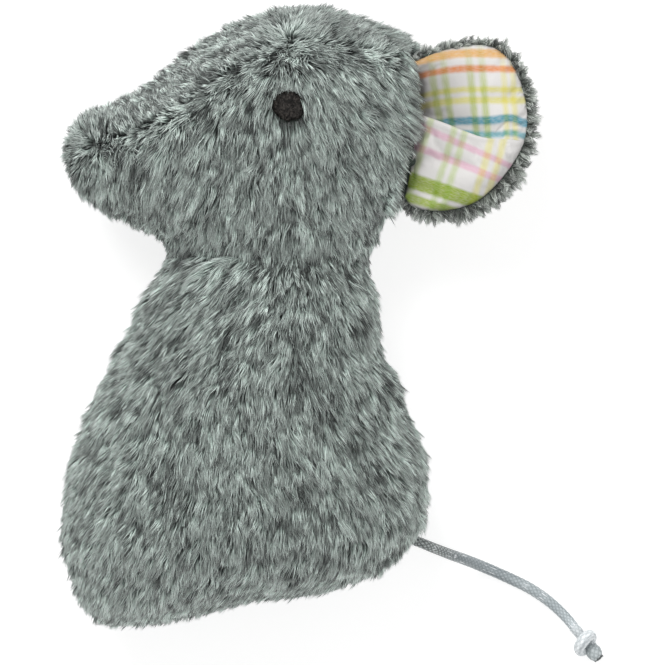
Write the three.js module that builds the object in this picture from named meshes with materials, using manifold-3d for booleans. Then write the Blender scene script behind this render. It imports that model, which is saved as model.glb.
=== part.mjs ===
// Plush mouse cat toy, lying on its right side on a flat surface.
// Millimetres, +Z up. X runs from the nose to the back of the head, Y from the
// base of the body up to the crown, Z from the right side of the mouse (down)
// to its left side (up). The origin is under the middle of the body and ears.
//
// The mouse is sewn like this: two body panels meet in a perimeter seam, two
// head side panels and one head gusset (nose, crown, back of the head, nape)
// are sewn to each other and to the body at the neck. An ear is caught in each
// long edge of the gusset. The tail is a cord caught in the body seam.

import * as THREE from 'three';
import { mergeVertices } from 'three/addons/utils/BufferGeometryUtils.js';
import Module from 'manifold-3d';

const wasm = await Module();
wasm.setup();

// ---------------------------------------------------------------- dimensions
const K = 0.24;                 // mm per unit of the outline tables below
const CX = 300.5;               // table column of X = 0
const CY = 315.5;               // table row of Y = 0
const Z_SEAM = 22.0;            // height of the perimeter seam
const PANEL = 4.0;              // plush thickness: backing cloth and laid pile
const FILL_INSET = 4.5;         // filling surface below the outer surface
const SEAM_GAP = 0.3;           // gap between two panels along a seam
const THREAD_R = 0.45;          // seam thread radius
const THREAD_DEPTH = 2.3;       // seam thread below the outer surface
const CHANNEL_R = 1.1;          // corner radius of the square thread channel
const RING_OUTER = 32;          // points around a section
const RING_INNER = 24;
const SECTION_E = 0.92;         // section fullness, 1 is an ellipse
const CROWN_L = 24.0;           // length over which the crown rounds off
const BASE_L = 26.0;            // length over which the base rounds off
const EYE = { x: 288, y: 107, r: 3.7, thick: 1.2, pocket: 4.1, depth: 3.4 };
const EAR_Z = 30.5;             // height of the left ear's fold line
const EAR_TOP = [413, 52];      // upper end of the fold line
const EAR_LOW = [403, 206];     // lower end of the fold line
const EAR_UNDER = -2.6;         // back of the ear from its fold plane
const EAR_OVER = 2.4;           // edge of the plush rim above it
const CORD_R = 1.35;            // tail cord radius

const X = (px) => (px - CX) * K;
const Y = (py) => (CY - py) * K;

// Outline of head and body from the side, pile included, clockwise.
const OUTLINE = [
  [300, 3], [320, 5], [341, 10], [369, 20], [396, 30], [414, 40], [428, 55], [436, 80], [439, 110], [437, 140],
  [430, 168], [417, 192], [402, 208], [390, 218], [384, 226], [380, 235], [376, 245], [373, 255], [371, 266],
  [373, 278], [377, 290], [379, 305], [381, 320], [382, 338], [385, 352], [391, 363], [397, 373], [401, 382],
  [404, 394], [408, 408], [413, 420], [418, 432], [423, 445], [427, 458], [428, 475], [429, 495], [428, 512],
  [425, 525], [419, 535], [411, 545], [404, 555], [394, 565], [384, 572], [365, 580], [336, 590], [305, 596],
  [276, 600], [250, 604], [217, 611], [187, 619], [170, 624], [150, 627], [130, 628], [112, 627], [98, 623],
  [88, 615], [80, 605], [75, 592], [70, 578], [65, 562], [61, 545], [61, 530], [62, 510], [64, 490], [67, 470],
  [71, 455], [76, 440], [82, 425], [87, 410], [93, 398], [100, 382], [108, 368], [114, 354], [120, 340],
  [127, 330], [133, 318], [138, 303], [147, 288], [155, 276], [162, 264], [164, 254], [161, 243], [152, 236],
  [138, 229], [120, 222], [104, 214], [92, 206], [80, 196], [71, 186], [66, 174], [62, 161], [61, 149], [65, 138],
  [74, 126], [88, 114], [105, 105], [125, 96], [149, 81], [165, 67], [182, 54], [198, 43], [212, 33], [228, 25],
  [243, 19], [262, 11], [280, 6],
];

// Half thickness at the middle of each cross-section: [row, mm].
const HALF_THICK = [
  [0, 21.5], [60, 22.3], [130, 22.8], [190, 21.2], [225, 19.2], [252, 17.4], [285, 19.4], [330, 22.0],
  [400, 24.0], [470, 24.6], [540, 24.2], [628, 22.0],
];

// Seam between a head side panel and the gusset: nose, crown, ear, nape.
const GUSSET_SEAM = [
  [40, 148], [61, 147], [80, 146], [101, 143], [137, 135], [179, 114], [221, 84], [253, 65], [290, 48], [325, 44],
  [357, 53], [385, 59], [404, 60], [415, 66], [419, 80], [420, 98], [419, 120], [415, 150], [409, 178], [402, 196],
  [392, 210], [381, 222], [374, 236], [369, 252], [367, 266],
];
// Neck seam between the head and the body.
const NECK_SEAM = [[40, 254], [120, 254], [165, 255], [205, 255], [245, 257], [292, 264], [335, 259], [375, 251], [410, 246], [470, 244]];

const EAR_OUTLINE = [
  [413, 47], [424, 42], [443, 38], [465, 37], [485, 38], [501, 43], [515, 53], [527, 68], [534, 84], [538, 108],
  [540, 130], [537, 150], [531, 170], [522, 189], [512, 201], [498, 211], [477, 219], [450, 222], [427, 220], [404, 210],
];
const LINING_OUTLINE = [
  [418, 60], [444, 51], [474, 46], [494, 49], [507, 58], [516, 71], [522, 92], [526, 120], [522, 142], [511, 164],
  [494, 184], [474, 199], [448, 207], [424, 205], [410, 198],
];

// Tail route from the seam down to the surface and along it: [column, row, z].
const TAIL_ROUTE = [
  [416, 541, 22.0], [423, 543.6, 21.4], [431, 547, 19.5], [441, 551, 16.0], [451, 555, 12.0], [462, 559, 8.2], [473, 563.2, 5.0],
  [485, 568.2, 2.8], [499, 574.2, 1.75], [514, 581, 1.5], [530, 589, 1.5], [545, 598.8, 1.5], [557, 608.6, 1.5], [568, 619.6, 1.8], [577, 630.6, 2.5],
];

// ------------------------------------------------------------------- helpers
const smooth = (t) => { const c = Math.min(1, Math.max(0, t)); return c * c * (3 - 2 * c); };

const toManifold = (geometry) => {
  const g = geometry.clone();
  g.deleteAttribute('normal');
  g.deleteAttribute('uv');
  const m = mergeVertices(g, 1e-4);
  const idx = m.index.array;
  return new wasm.Manifold(new wasm.Mesh({
    numProp: 3,
    vertProperties: new Float32Array(m.attributes.position.array),
    triVerts: new Uint32Array(idx),
  }));
};
const toGeometry = (manifold) => {
  const mesh = manifold.getMesh();
  const pos = new Float32Array(mesh.numVert * 3);
  for (let i = 0; i < mesh.numVert; i++) {
    for (let k = 0; k < 3; k++) pos[i * 3 + k] = mesh.vertProperties[i * mesh.numProp + k];
  }
  const g = new THREE.BufferGeometry();
  g.setAttribute('position', new THREE.BufferAttribute(pos, 3));
  g.setIndex(new THREE.BufferAttribute(new Uint32Array(mesh.triVerts), 1));
  g.computeVertexNormals();
  return g;
};
// The largest piece of a cut solid; slivers of a few cubic millimetres go.
const largest = (manifold) => manifold.decompose().sort((a, b) => b.volume() - a.volume())[0];

const prism = (points, z0, z1) => {
  const s = new THREE.Shape(points.map(([x, y]) => new THREE.Vector2(x, y)));
  const g = new THREE.ExtrudeGeometry(s, { depth: z1 - z0, bevelEnabled: false, steps: 1 });
  g.translate(0, 0, z0);
  return toManifold(g);
};
const toXY = (list) => list.map(([px, py]) => [X(px), Y(py)]);

// A thin wall that follows a line, for the gap of a seam.
const wall = (list, thick) => {
  const p = toXY(list);
  const left = [], right = [];
  for (let i = 0; i < p.length; i++) {
    const a = p[Math.max(0, i - 1)], b = p[Math.min(p.length - 1, i + 1)];
    const l = Math.hypot(b[0] - a[0], b[1] - a[1]);
    const nx = -(b[1] - a[1]) / l, ny = (b[0] - a[0]) / l;
    left.push([p[i][0] + nx * thick / 2, p[i][1] + ny * thick / 2]);
    right.push([p[i][0] - nx * thick / 2, p[i][1] - ny * thick / 2]);
  }
  return prism([...left, ...right.reverse()], -20, 90);
};

// A closed tube along a route of points.
const tube = (points, radius, sides, steps, turn = 0) => {
  const curve = new THREE.CatmullRomCurve3(points.map((p) => new THREE.Vector3(...p)), false, 'centripetal');
  const s = new THREE.Shape();
  for (let i = 0; i < sides; i++) {
    const a = turn + (i / sides) * Math.PI * 2;
    if (i === 0) s.moveTo(radius * Math.cos(a), radius * Math.sin(a));
    else s.lineTo(radius * Math.cos(a), radius * Math.sin(a));
  }
  s.closePath();
  return new THREE.ExtrudeGeometry(s, { steps, bevelEnabled: false, extrudePath: curve });
};

// ------------------------------------------------------- head and body form
const dense = new THREE.CatmullRomCurve3(OUTLINE.map(([px, py]) => new THREE.Vector3(X(px), Y(py), 0)), true, 'centripetal')
  .getPoints(900);
const Y_LOW = Math.min(...dense.map((p) => p.y));
const Y_TOP = Math.max(...dense.map((p) => p.y));

const rowEnds = (y) => {
  let lo = Infinity, hi = -Infinity;
  for (let i = 0; i < dense.length - 1; i++) {
    const a = dense[i], b = dense[i + 1];
    if ((a.y - y) * (b.y - y) <= 0 && a.y !== b.y) {
      const x = a.x + (b.x - a.x) * (y - a.y) / (b.y - a.y);
      lo = Math.min(lo, x); hi = Math.max(hi, x);
    }
  }
  return [lo, hi];
};
const halfThick = (y) => {
  const py = CY - y / K;
  let i = 0;
  while (i < HALF_THICK.length - 2 && py > HALF_THICK[i + 1][0]) i++;
  const [y0, h0] = HALF_THICK[i], [y1, h1] = HALF_THICK[i + 1];
  const base = h0 + (h1 - h0) * smooth((py - y0) / (y1 - y0));
  const cap = (d, l) => Math.sqrt(Math.max(0, 1 - (1 - Math.min(1, Math.max(0, d / l))) ** 2));
  return base * cap(Y_TOP - y, CROWN_L) * cap(y - Y_LOW, BASE_L);
};
const SAMPLES = 600;
const table = Array.from({ length: SAMPLES + 1 }, (_, i) => {
  const y = Y_LOW + (Y_TOP - Y_LOW) * (i / SAMPLES);
  const yy = Math.min(Y_TOP - 1e-4, Math.max(Y_LOW + 1e-4, y));
  const [l, r] = rowEnds(yy);
  return { y: yy, l, r, h: halfThick(yy) };
});
// Section of the form moved inwards by d at height y.
const section = (y, d) => {
  let l = -Infinity, r = Infinity, h = Infinity;
  for (const t of table) {
    const dy = Math.abs(t.y - y);
    if (dy > d + 0.13) continue;
    const s = Math.sqrt(Math.max(0, d * d - dy * dy));
    l = Math.max(l, t.l + s); r = Math.min(r, t.r - s); h = Math.min(h, t.h - s);
  }
  return { l, r, h: Math.max(0, h) };
};
// Half thickness of that section at x.
const height = (x, y, sec) => {
  const xc = (sec.l + sec.r) / 2, xw = (sec.r - sec.l) / 2;
  const s = Math.min(1, Math.max(-1, (x - xc) / xw));
  const py = CY - y / K;
  const head = 1 - smooth((py - 195) / 60);
  const snout = 1 - 0.35 * head * smooth((-s - 0.45) / 0.55);
  return sec.h * Math.pow(Math.max(0, 1 - s * s), SECTION_E / 2) * snout;
};

const form = (d, ring, rows) => {
  const y0 = Y_LOW + d, y1 = Y_TOP - d;
  const ys = [];
  for (let i = 1; i < rows; i++) {
    const t = i / rows;
    // rows crowd towards both ends, where the form rounds off
    const e = 0.72 * t + 0.28 * (0.5 - 0.5 * Math.cos(Math.PI * t));
    ys.push(y0 + (y1 - y0) * e);
  }
  const v = [], f = [];
  const apex = (y) => { const s = section(y, d); return [(s.l + s.r) / 2, y, Z_SEAM]; };
  for (const y of ys) {
    const s = section(y, d);
    const xc = (s.l + s.r) / 2, xw = (s.r - s.l) / 2;
    for (let j = 0; j < ring; j++) {
      const a = (j / ring) * Math.PI * 2;
      const x = xc + xw * Math.cos(a);
      const h = height(x, y, s);
      const z = Math.sin(a) >= 0 ? Z_SEAM + h : Math.max(d, Z_SEAM - h);
      v.push([x, y, Math.abs(Math.sin(a)) < 1e-9 ? Z_SEAM : z]);
    }
  }
  const n = ys.length;
  for (let i = 0; i < n - 1; i++) {
    for (let j = 0; j < ring; j++) {
      const a = i * ring + j, b = i * ring + (j + 1) % ring, c = a + ring, e = b + ring;
      f.push([a, c, b], [b, c, e]);
    }
  }
  const low = v.push(apex(y0 + 0.02)) - 1, top = v.push(apex(y1 - 0.02)) - 1;
  for (let j = 0; j < ring; j++) {
    f.push([low, j, (j + 1) % ring]);
    f.push([top, (n - 1) * ring + (j + 1) % ring, (n - 1) * ring + j]);
  }
  const g = new THREE.BufferGeometry();
  g.setAttribute('position', new THREE.BufferAttribute(new Float32Array(v.flat()), 3));
  g.setIndex(f.flat());
  const m = toManifold(g);
  return m.volume() > 0 ? m : toManifold(flip(g));
};
const flip = (g) => {
  const idx = Array.from(g.index.array);
  for (let i = 0; i < idx.length; i += 3) { const t = idx[i + 1]; idx[i + 1] = idx[i + 2]; idx[i + 2] = t; }
  g.setIndex(idx);
  return g;
};
const mirrorZ = (geometry) => {
  const g = geometry.index ? geometry.clone() : mergeVertices(geometry);
  const p = g.attributes.position;
  for (let i = 0; i < p.count; i++) p.setZ(i, -p.getZ(i));
  flip(g);
  g.computeVertexNormals();
  return g;
};

const outer = form(0, RING_OUTER, 28);
const inner = form(PANEL, RING_INNER, 24);
const core = form(FILL_INSET, RING_INNER, 24);

// ------------------------------------------------------------ panel regions
const seamEnd = GUSSET_SEAM.length - 1;
const neckRight = toXY(NECK_SEAM);
const crossRight = NECK_SEAM.findIndex(([px]) => px > GUSSET_SEAM[seamEnd][0]);
const sideRegion = prism(toXY([
  ...GUSSET_SEAM.slice(0, seamEnd), [368.5, 252.5],
  ...NECK_SEAM.slice(0, crossRight).reverse(),
]), -20, 90);
const gussetRegion = prism(toXY([
  ...GUSSET_SEAM.slice(0, seamEnd), [368.5, 252.5],
  ...NECK_SEAM.slice(crossRight), [470, -30], [40, -30],
]), -20, 90);
const bodyRegion = prism([...neckRight, [X(470), Y(660)], [X(40), Y(660)]], -20, 90);
const headRegion = prism([...neckRight, [X(470), Y(-30)], [X(40), Y(-30)]].reverse(), -20, 90);
const above = prism([[-80, -90], [80, -90], [80, 90], [-80, 90]], Z_SEAM + SEAM_GAP / 2, 90);
const below = prism([[-80, -90], [80, -90], [80, 90], [-80, 90]], -20, Z_SEAM - SEAM_GAP / 2);
const neckWall = wall(NECK_SEAM, SEAM_GAP);
const gussetWall = wall(GUSSET_SEAM, SEAM_GAP);

// ------------------------------------------------------------ seam threads
const surfacePoint = (px, py, side, depth) => {
  const x = X(px), y = Y(py);
  const s = section(y, depth);
  const xx = Math.min(s.r, Math.max(s.l, x));
  const h = height(xx, y, s);
  return [xx, y, side > 0 ? Z_SEAM + h : Math.max(depth, Z_SEAM - h)];
};
const thin = (list, from, to, n) => {
  const c = new THREE.CatmullRomCurve3(list.map(([px, py]) => new THREE.Vector3(px, py, 0)), false, 'centripetal');
  return Array.from({ length: n }, (_, i) => { const p = c.getPointAt(from + (to - from) * i / (n - 1)); return [p.x, p.y]; });
};
// gusset seams: from behind the nose to the upper end of the ear
const gussetLine = thin(GUSSET_SEAM.slice(2, 13), 0.0, 1.0, 12);
const gussetThread = (side) => gussetLine.map(([px, py]) => surfacePoint(px, py, side, THREAD_DEPTH));
// neck seam: once round
const neckY = (px) => {
  let i = 0;
  while (i < NECK_SEAM.length - 2 && px > NECK_SEAM[i + 1][0]) i++;
  const [x0, y0] = NECK_SEAM[i], [x1, y1] = NECK_SEAM[i + 1];
  return y0 + (y1 - y0) * (px - x0) / (x1 - x0);
};
const neckThread = (a0, a1, n) => Array.from({ length: n }, (_, i) => {
  const a = a0 + (a1 - a0) * i / (n - 1);
  const s = section(Y(256), THREAD_DEPTH);
  const x = (s.l + s.r) / 2 + ((s.r - s.l) / 2) * Math.cos(a);
  const px = x / K + CX;
  const y = Y(neckY(px));
  const t = section(y, THREAD_DEPTH);
  const xx = (t.l + t.r) / 2 + ((t.r - t.l) / 2) * Math.cos(a);
  const h = height(xx, y, t);
  return [xx, y, Math.sin(a) >= 0 ? Z_SEAM + h : Math.max(THREAD_DEPTH, Z_SEAM - h)];
});
// side seams: along the outline, moved inwards
const insetOutline = (from, to, step) => {
  const c = new THREE.CatmullRomCurve3(OUTLINE.map(([px, py]) => new THREE.Vector3(X(px), Y(py), 0)), true, 'centripetal');
  const out = [];
  const n = OUTLINE.length;
  for (let i = from; i <= to + 1e-9; i += step) {
    const t = ((i % n) + n) % n / n;
    const p = c.getPoint(t), q = c.getPoint((t + 1e-3) % 1);
    const l = Math.hypot(q.x - p.x, q.y - p.y);
    out.push([p.x + (q.y - p.y) / l * THREAD_DEPTH, p.y - (q.x - p.x) / l * THREAD_DEPTH, Z_SEAM]);
  }
  return out;
};
const neckR = 17.6, tailAt = 38.6, neckL = 79.6, chinEnd = 91.5;
const sideThreadBack = insetOutline(neckR + 1.1, tailAt - 1.5, 0.99);
const sideThreadBelly = insetOutline(tailAt + 1.5, neckL - 0.9, 1);
const sideThreadChin = insetOutline(neckL + 1.2, chinEnd - 1.5, 1);

const backSteps = 13, bellySteps = 22, neckSteps = 20, chinSteps = 8, gussetSteps = 13;
const channel = (pts, steps) => toManifold(tube(pts, CHANNEL_R, 4, steps, Math.PI / 4));
const channels = {
  neck: channel(neckThread(0.10, Math.PI * 2 - 0.02, 22), neckSteps),
  back: channel(sideThreadBack, backSteps),
  belly: channel(sideThreadBelly, bellySteps),
  chin: channel(sideThreadChin, chinSteps),
  gussetLeft: channel(gussetThread(1), gussetSteps),
  gussetRight: channel(gussetThread(-1), gussetSteps),
};
const shortened = (pts, cut) => {
  // the thread is a little shorter than its channel at both ends
  const c = new THREE.CatmullRomCurve3(pts.map((p) => new THREE.Vector3(...p)), false, 'centripetal');
  const L = c.getLength(), n = pts.length * 2;
  return Array.from({ length: n }, (_, i) => c.getPointAt(cut / L + (1 - 2 * cut / L) * i / (n - 1)).toArray());
};

// ---------------------------------------------------------------- ear frame
const A = [X(EAR_TOP[0]), Y(EAR_TOP[1])], B = [X(EAR_LOW[0]), Y(EAR_LOW[1])];
const EAR_ORIGIN = [(A[0] + B[0]) / 2, (A[1] + B[1]) / 2];
const EAR_LEN = Math.hypot(A[0] - B[0], A[1] - B[1]);
const W = [(A[0] - B[0]) / EAR_LEN, (A[1] - B[1]) / EAR_LEN];   // along the fold line
const U = [W[1], -W[0]];                                        // outwards from it
const EAR_TURN = Math.atan2(U[1], U[0]);
const toEar = ([px, py]) => {
  const x = X(px) - EAR_ORIGIN[0], y = Y(py) - EAR_ORIGIN[1];
  return [x * U[0] + y * U[1], x * W[0] + y * W[1]];
};
const shrink = (pts, d) => {
  // moves a counter-clockwise outline inwards by d
  const n = pts.length;
  let area = 0;
  for (let i = 0; i < n; i++) { const a = pts[i], b = pts[(i + 1) % n]; area += a[0] * b[1] - a[1] * b[0]; }
  const sgn = area > 0 ? 1 : -1;
  return pts.map((p, i) => {
    const a = pts[(i + n - 1) % n], b = pts[(i + 1) % n];
    const l = Math.hypot(b[0] - a[0], b[1] - a[1]);
    return [p[0] - sgn * (b[1] - a[1]) / l * d, p[1] + sgn * (b[0] - a[0]) / l * d];
  });
};
const clampU = (pts, u) => pts.map(([a, b]) => [Math.max(a, u), b]);

const earOutline = EAR_OUTLINE.map(toEar);
earOutline[0][0] = -1.0; earOutline[earOutline.length - 1][0] = -1.0;
const liningOutline = clampU(LINING_OUTLINE.map(toEar), 0.9);
const earBack = prism(earOutline, EAR_UNDER, EAR_OVER)
  .subtract(prism(clampU(shrink(liningOutline, -0.35), 0.5), -0.6, EAR_OVER + 1));
const earLining = prism(liningOutline, 1.4, 2.3);
const earWadding = prism(clampU(shrink(liningOutline, 1.5), 2.0), -0.3, 1.1);
const earTab = prism([[-2.6, -17.2], [1.6, -17.2], [1.6, 17.2], [-2.6, 17.2]], -5.2, -3.8);

// Room for the ear to move, cut from panels and filling: a slot open upwards
// whose floor falls away under the ear.
const earRoom = (du, dv) => {
  const p = [[-3.1 - du, 34], [-3.1 - du, -3.3 - dv], [0, -3.6 - dv], [16, -9.2 - dv], [16, 34]];
  const s = new THREE.Shape(p.map(([a, b]) => new THREE.Vector2(a, b)));
  const g = new THREE.ExtrudeGeometry(s, { depth: EAR_LEN + 5.5, bevelEnabled: false, steps: 1 });
  g.rotateX(Math.PI / 2);                       // section in u and v, length along -w
  g.translate(0, EAR_LEN / 2 + 3.3, 0);
  return g;
};
const placeEar = (geometry, side) => {
  const g = side > 0 ? geometry.clone() : mirrorZ(geometry);
  g.rotateZ(EAR_TURN);
  g.translate(EAR_ORIGIN[0], EAR_ORIGIN[1], side > 0 ? EAR_Z : 2 * Z_SEAM - EAR_Z);
  return g;
};
const tabRoom = toGeometry(prism([[-3.0, -17.6], [2.0, -17.6], [2.0, 17.6], [-3.0, 17.6]], -5.6, -3.0));
const roomPanels = toManifold(placeEar(earRoom(0, 0), 1)).add(toManifold(placeEar(earRoom(0, 0), -1)))
  .add(toManifold(placeEar(tabRoom, 1))).add(toManifold(placeEar(tabRoom, -1)));
const roomCore = toManifold(placeEar(earRoom(1.6, 2.3), 1)).add(toManifold(placeEar(earRoom(1.6, 2.3), -1)));

// -------------------------------------------------------------- eye and tail
const disc = (px, py, r, z0, z1, n) => {
  const g = new THREE.CylinderGeometry(r, r, z1 - z0, n);
  g.rotateX(Math.PI / 2);
  g.translate(X(px), Y(py), (z0 + z1) / 2);
  return g;
};
const eyeSurface = height(X(EYE.x), Y(EYE.y), section(Y(EYE.y), 0));
const eyeFloor = Z_SEAM + eyeSurface - EYE.depth;
const eyeLowSurface = Math.max(0, Z_SEAM - eyeSurface);
const eyePocketLeft = toManifold(disc(EYE.x, EYE.y, EYE.pocket, eyeFloor, 60, 20));
const eyePocketRight = toManifold(disc(EYE.x, EYE.y, EYE.pocket, -10, eyeLowSurface + EYE.depth, 20));

const route = TAIL_ROUTE.map(([px, py, z]) => [X(px), Y(py), z]);
const dir = [route[1][0] - route[0][0], route[1][1] - route[0][1]];
const dl = Math.hypot(dir[0], dir[1]);
const D = [dir[0] / dl, dir[1] / dl];
const along = (s) => [route[0][0] + D[0] * s, route[0][1] + D[1] * s, Z_SEAM];
const tackBox = (grow, z) => {
  const g = new THREE.BoxGeometry(4.6 + 2 * grow, 3.4 + 2 * grow, 2 * z);
  g.rotateZ(Math.atan2(D[1], D[0]));
  g.translate(...along(-3.8));
  return g;
};
// Room at the tail's exit: the slot of the bar tack, the hole through the seam
// and a dimple in the pile, so that the cord can swing.
const dimple = new THREE.SphereGeometry(3.7, 12, 8);
dimple.translate(...route[0]);
const tailSlot = toManifold(tackBox(0.3, 1.5)).add(toManifold(tube([along(-1.0), along(1), along(8)], 2.3, 8, 2))).add(toManifold(dimple));

// -------------------------------------------------------------------- pieces
const shell = outer.subtract(inner);
const allChannels = channels.neck.add(channels.back).add(channels.belly).add(channels.chin).add(channels.gussetLeft).add(channels.gussetRight);
const cutHead = roomPanels.add(allChannels).add(neckWall).add(gussetWall);
const headShell = shell.intersect(sideRegion).subtract(cutHead);
const headLeft = largest(headShell.intersect(above).subtract(eyePocketLeft));
const headRight = largest(headShell.intersect(below).subtract(eyePocketRight));
const gusset = largest(shell.intersect(gussetRegion).subtract(cutHead));
const bodyShell = shell.intersect(bodyRegion).subtract(allChannels.add(neckWall).add(tailSlot));
const bodyLeft = largest(bodyShell.intersect(above));
const bodyRight = largest(bodyShell.intersect(below));
const roomTail = toManifold(tackBox(0.6, 1.8));
const bodyCore = largest(core.intersect(bodyRegion).subtract(wall(NECK_SEAM, 0.4)).subtract(roomTail));
const headCore = largest(core.intersect(headRegion).subtract(wall(NECK_SEAM, 0.4)).subtract(roomCore));

const knot = () => {
  const ball = (px, py, z, rx, ry, rz, turn) => {
    const g = new THREE.SphereGeometry(1, 10, 7);
    g.scale(rx, ry, rz);
    g.rotateZ(turn);
    g.translate(X(px), Y(py), z);
    return toManifold(g);
  };
  const end = tube([[X(590), Y(649), 2.3], [X(594.5), Y(654), 1.9], [X(598.5), Y(658), 1.5]], CORD_R, 8, 3);
  return toGeometry(ball(585, 642.5, 3.1, 2.5, 3.0, 3.0, -0.7).add(ball(590.5, 649, 2.8, 2.9, 2.5, 2.7, -0.7)).add(toManifold(end)));
};

// ----------------------------------------------------------------- materials
const plush = new THREE.MeshStandardMaterial({ color: 0x79817d, roughness: 0.95, metalness: 0 });
const gussetPlush = new THREE.MeshStandardMaterial({ color: 0x858c89, roughness: 0.95, metalness: 0 });
const cotton = new THREE.MeshStandardMaterial({ color: 0xf1ede2, roughness: 0.9, metalness: 0 });
const wadding = new THREE.MeshStandardMaterial({ color: 0xf4f4f2, roughness: 1, metalness: 0 });
const thread = new THREE.MeshStandardMaterial({ color: 0x5c6360, roughness: 0.8, metalness: 0 });
const eyeThread = new THREE.MeshStandardMaterial({ color: 0x282422, roughness: 0.6, metalness: 0 });
const satin = new THREE.MeshStandardMaterial({ color: 0xa9b1b8, roughness: 0.35, metalness: 0 });

const mouse = new THREE.Group();
const put = (name, geometry, material, parent = mouse) => {
  const mesh = new THREE.Mesh(geometry, material);
  mesh.name = name;
  parent.add(mesh);
  return mesh;
};

const torso = new THREE.Group();
mouse.add(torso);
put('body_panel_left', toGeometry(bodyLeft), plush, torso);
put('body_panel_right', toGeometry(bodyRight), plush, torso);
put('head_panel_left', toGeometry(headLeft), plush, torso);
put('head_panel_right', toGeometry(headRight), plush, torso);
put('head_gusset', toGeometry(gusset), gussetPlush, torso);
put('body_filling', toGeometry(bodyCore), wadding, torso);
put('head_filling', toGeometry(headCore), wadding, torso);
put('eye_left', disc(EYE.x, EYE.y, EYE.r, eyeFloor + 0.3, eyeFloor + 0.3 + EYE.thick, 24), eyeThread, torso);
put('eye_right', disc(EYE.x, EYE.y, EYE.r, eyeLowSurface + EYE.depth - 0.3 - EYE.thick, eyeLowSurface + EYE.depth - 0.3, 24), eyeThread, torso);
put('neck_seam_thread', tube(shortened(neckThread(0.10, Math.PI * 2 - 0.02, 22), 0.7), THREAD_R, 5, neckSteps), thread, torso);
put('back_seam_thread', tube(shortened(sideThreadBack, 0.7), THREAD_R, 5, backSteps), thread, torso);
put('belly_seam_thread', tube(shortened(sideThreadBelly, 0.7), THREAD_R, 5, bellySteps), thread, torso);
put('chin_seam_thread', tube(shortened(sideThreadChin, 0.7), THREAD_R, 5, chinSteps), thread, torso);
put('gusset_seam_thread_left', tube(shortened(gussetThread(1), 0.7), THREAD_R, 5, gussetSteps), thread, torso);
put('gusset_seam_thread_right', tube(shortened(gussetThread(-1), 0.7), THREAD_R, 5, gussetSteps), thread, torso);
put('tail_bar_tack', tackBox(0, 1.1), thread, torso);
put('ear_left_base_tab', placeEar(toGeometry(earTab), 1), plush, torso);
put('ear_right_base_tab', placeEar(toGeometry(earTab), -1), plush, torso);

for (const [name, side] of [['left', 1], ['right', -1]]) {
  const ear = new THREE.Group();
  ear.position.set(EAR_ORIGIN[0], EAR_ORIGIN[1], side > 0 ? EAR_Z : 2 * Z_SEAM - EAR_Z);
  ear.rotation.z = EAR_TURN;
  mouse.add(ear);
  const shape = (m) => (side > 0 ? toGeometry(m) : mirrorZ(toGeometry(m)));
  put(`ear_${name}_back`, shape(earBack), plush, ear);
  put(`ear_${name}_lining`, shape(earLining), cotton, ear);
  put(`ear_${name}_wadding`, shape(earWadding), wadding, ear);
}

const tail = new THREE.Group();
mouse.add(tail);
put('tail_cord', tube(route, CORD_R, 8, 22), satin, tail);
put('tail_knot', knot(), satin, tail);

export default mouse;
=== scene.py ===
# Looks of a plush mouse cat toy that lies on its right side, seen from above.
# Lengths are worked out in millimetres and written to the meshes in metres, in
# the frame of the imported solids: +X to the back of the head, +Y to the crown,
# +Z to the toy's left side, floor at z = 0.
import math

import bpy
import numpy as np
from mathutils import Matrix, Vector
from mathutils.kdtree import KDTree


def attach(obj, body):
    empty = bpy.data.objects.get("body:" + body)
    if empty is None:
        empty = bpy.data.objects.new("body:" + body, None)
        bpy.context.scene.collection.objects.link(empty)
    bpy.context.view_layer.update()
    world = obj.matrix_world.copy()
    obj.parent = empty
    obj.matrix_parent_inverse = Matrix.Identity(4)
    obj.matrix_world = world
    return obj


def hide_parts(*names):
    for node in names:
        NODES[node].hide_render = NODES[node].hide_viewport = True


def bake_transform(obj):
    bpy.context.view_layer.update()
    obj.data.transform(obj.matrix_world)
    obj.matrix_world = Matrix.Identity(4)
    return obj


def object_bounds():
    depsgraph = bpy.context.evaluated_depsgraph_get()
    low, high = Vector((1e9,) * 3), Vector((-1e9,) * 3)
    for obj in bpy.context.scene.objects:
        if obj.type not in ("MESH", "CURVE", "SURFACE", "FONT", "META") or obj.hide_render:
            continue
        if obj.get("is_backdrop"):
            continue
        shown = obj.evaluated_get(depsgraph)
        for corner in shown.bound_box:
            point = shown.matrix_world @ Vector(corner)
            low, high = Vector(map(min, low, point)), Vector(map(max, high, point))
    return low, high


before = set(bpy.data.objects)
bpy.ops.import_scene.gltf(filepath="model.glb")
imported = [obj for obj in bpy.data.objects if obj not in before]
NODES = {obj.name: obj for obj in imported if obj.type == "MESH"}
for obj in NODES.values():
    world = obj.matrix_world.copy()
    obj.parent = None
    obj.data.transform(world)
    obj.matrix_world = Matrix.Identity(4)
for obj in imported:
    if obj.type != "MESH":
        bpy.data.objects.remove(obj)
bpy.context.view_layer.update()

MM = 0.001
K = 0.24            # millimetres per unit of the outline tables
CX, CY = 300.5, 315.5
Z_SEAM = 22.0       # height of the perimeter seam
PILE = 3.0          # backing cloth below the outer surface of the pile
CORD_R = 1.35
rng = np.random.default_rng(4127)


def X(px):
    return (np.asarray(px, float) - CX) * K


def Y(py):
    return (CY - np.asarray(py, float)) * K


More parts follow.
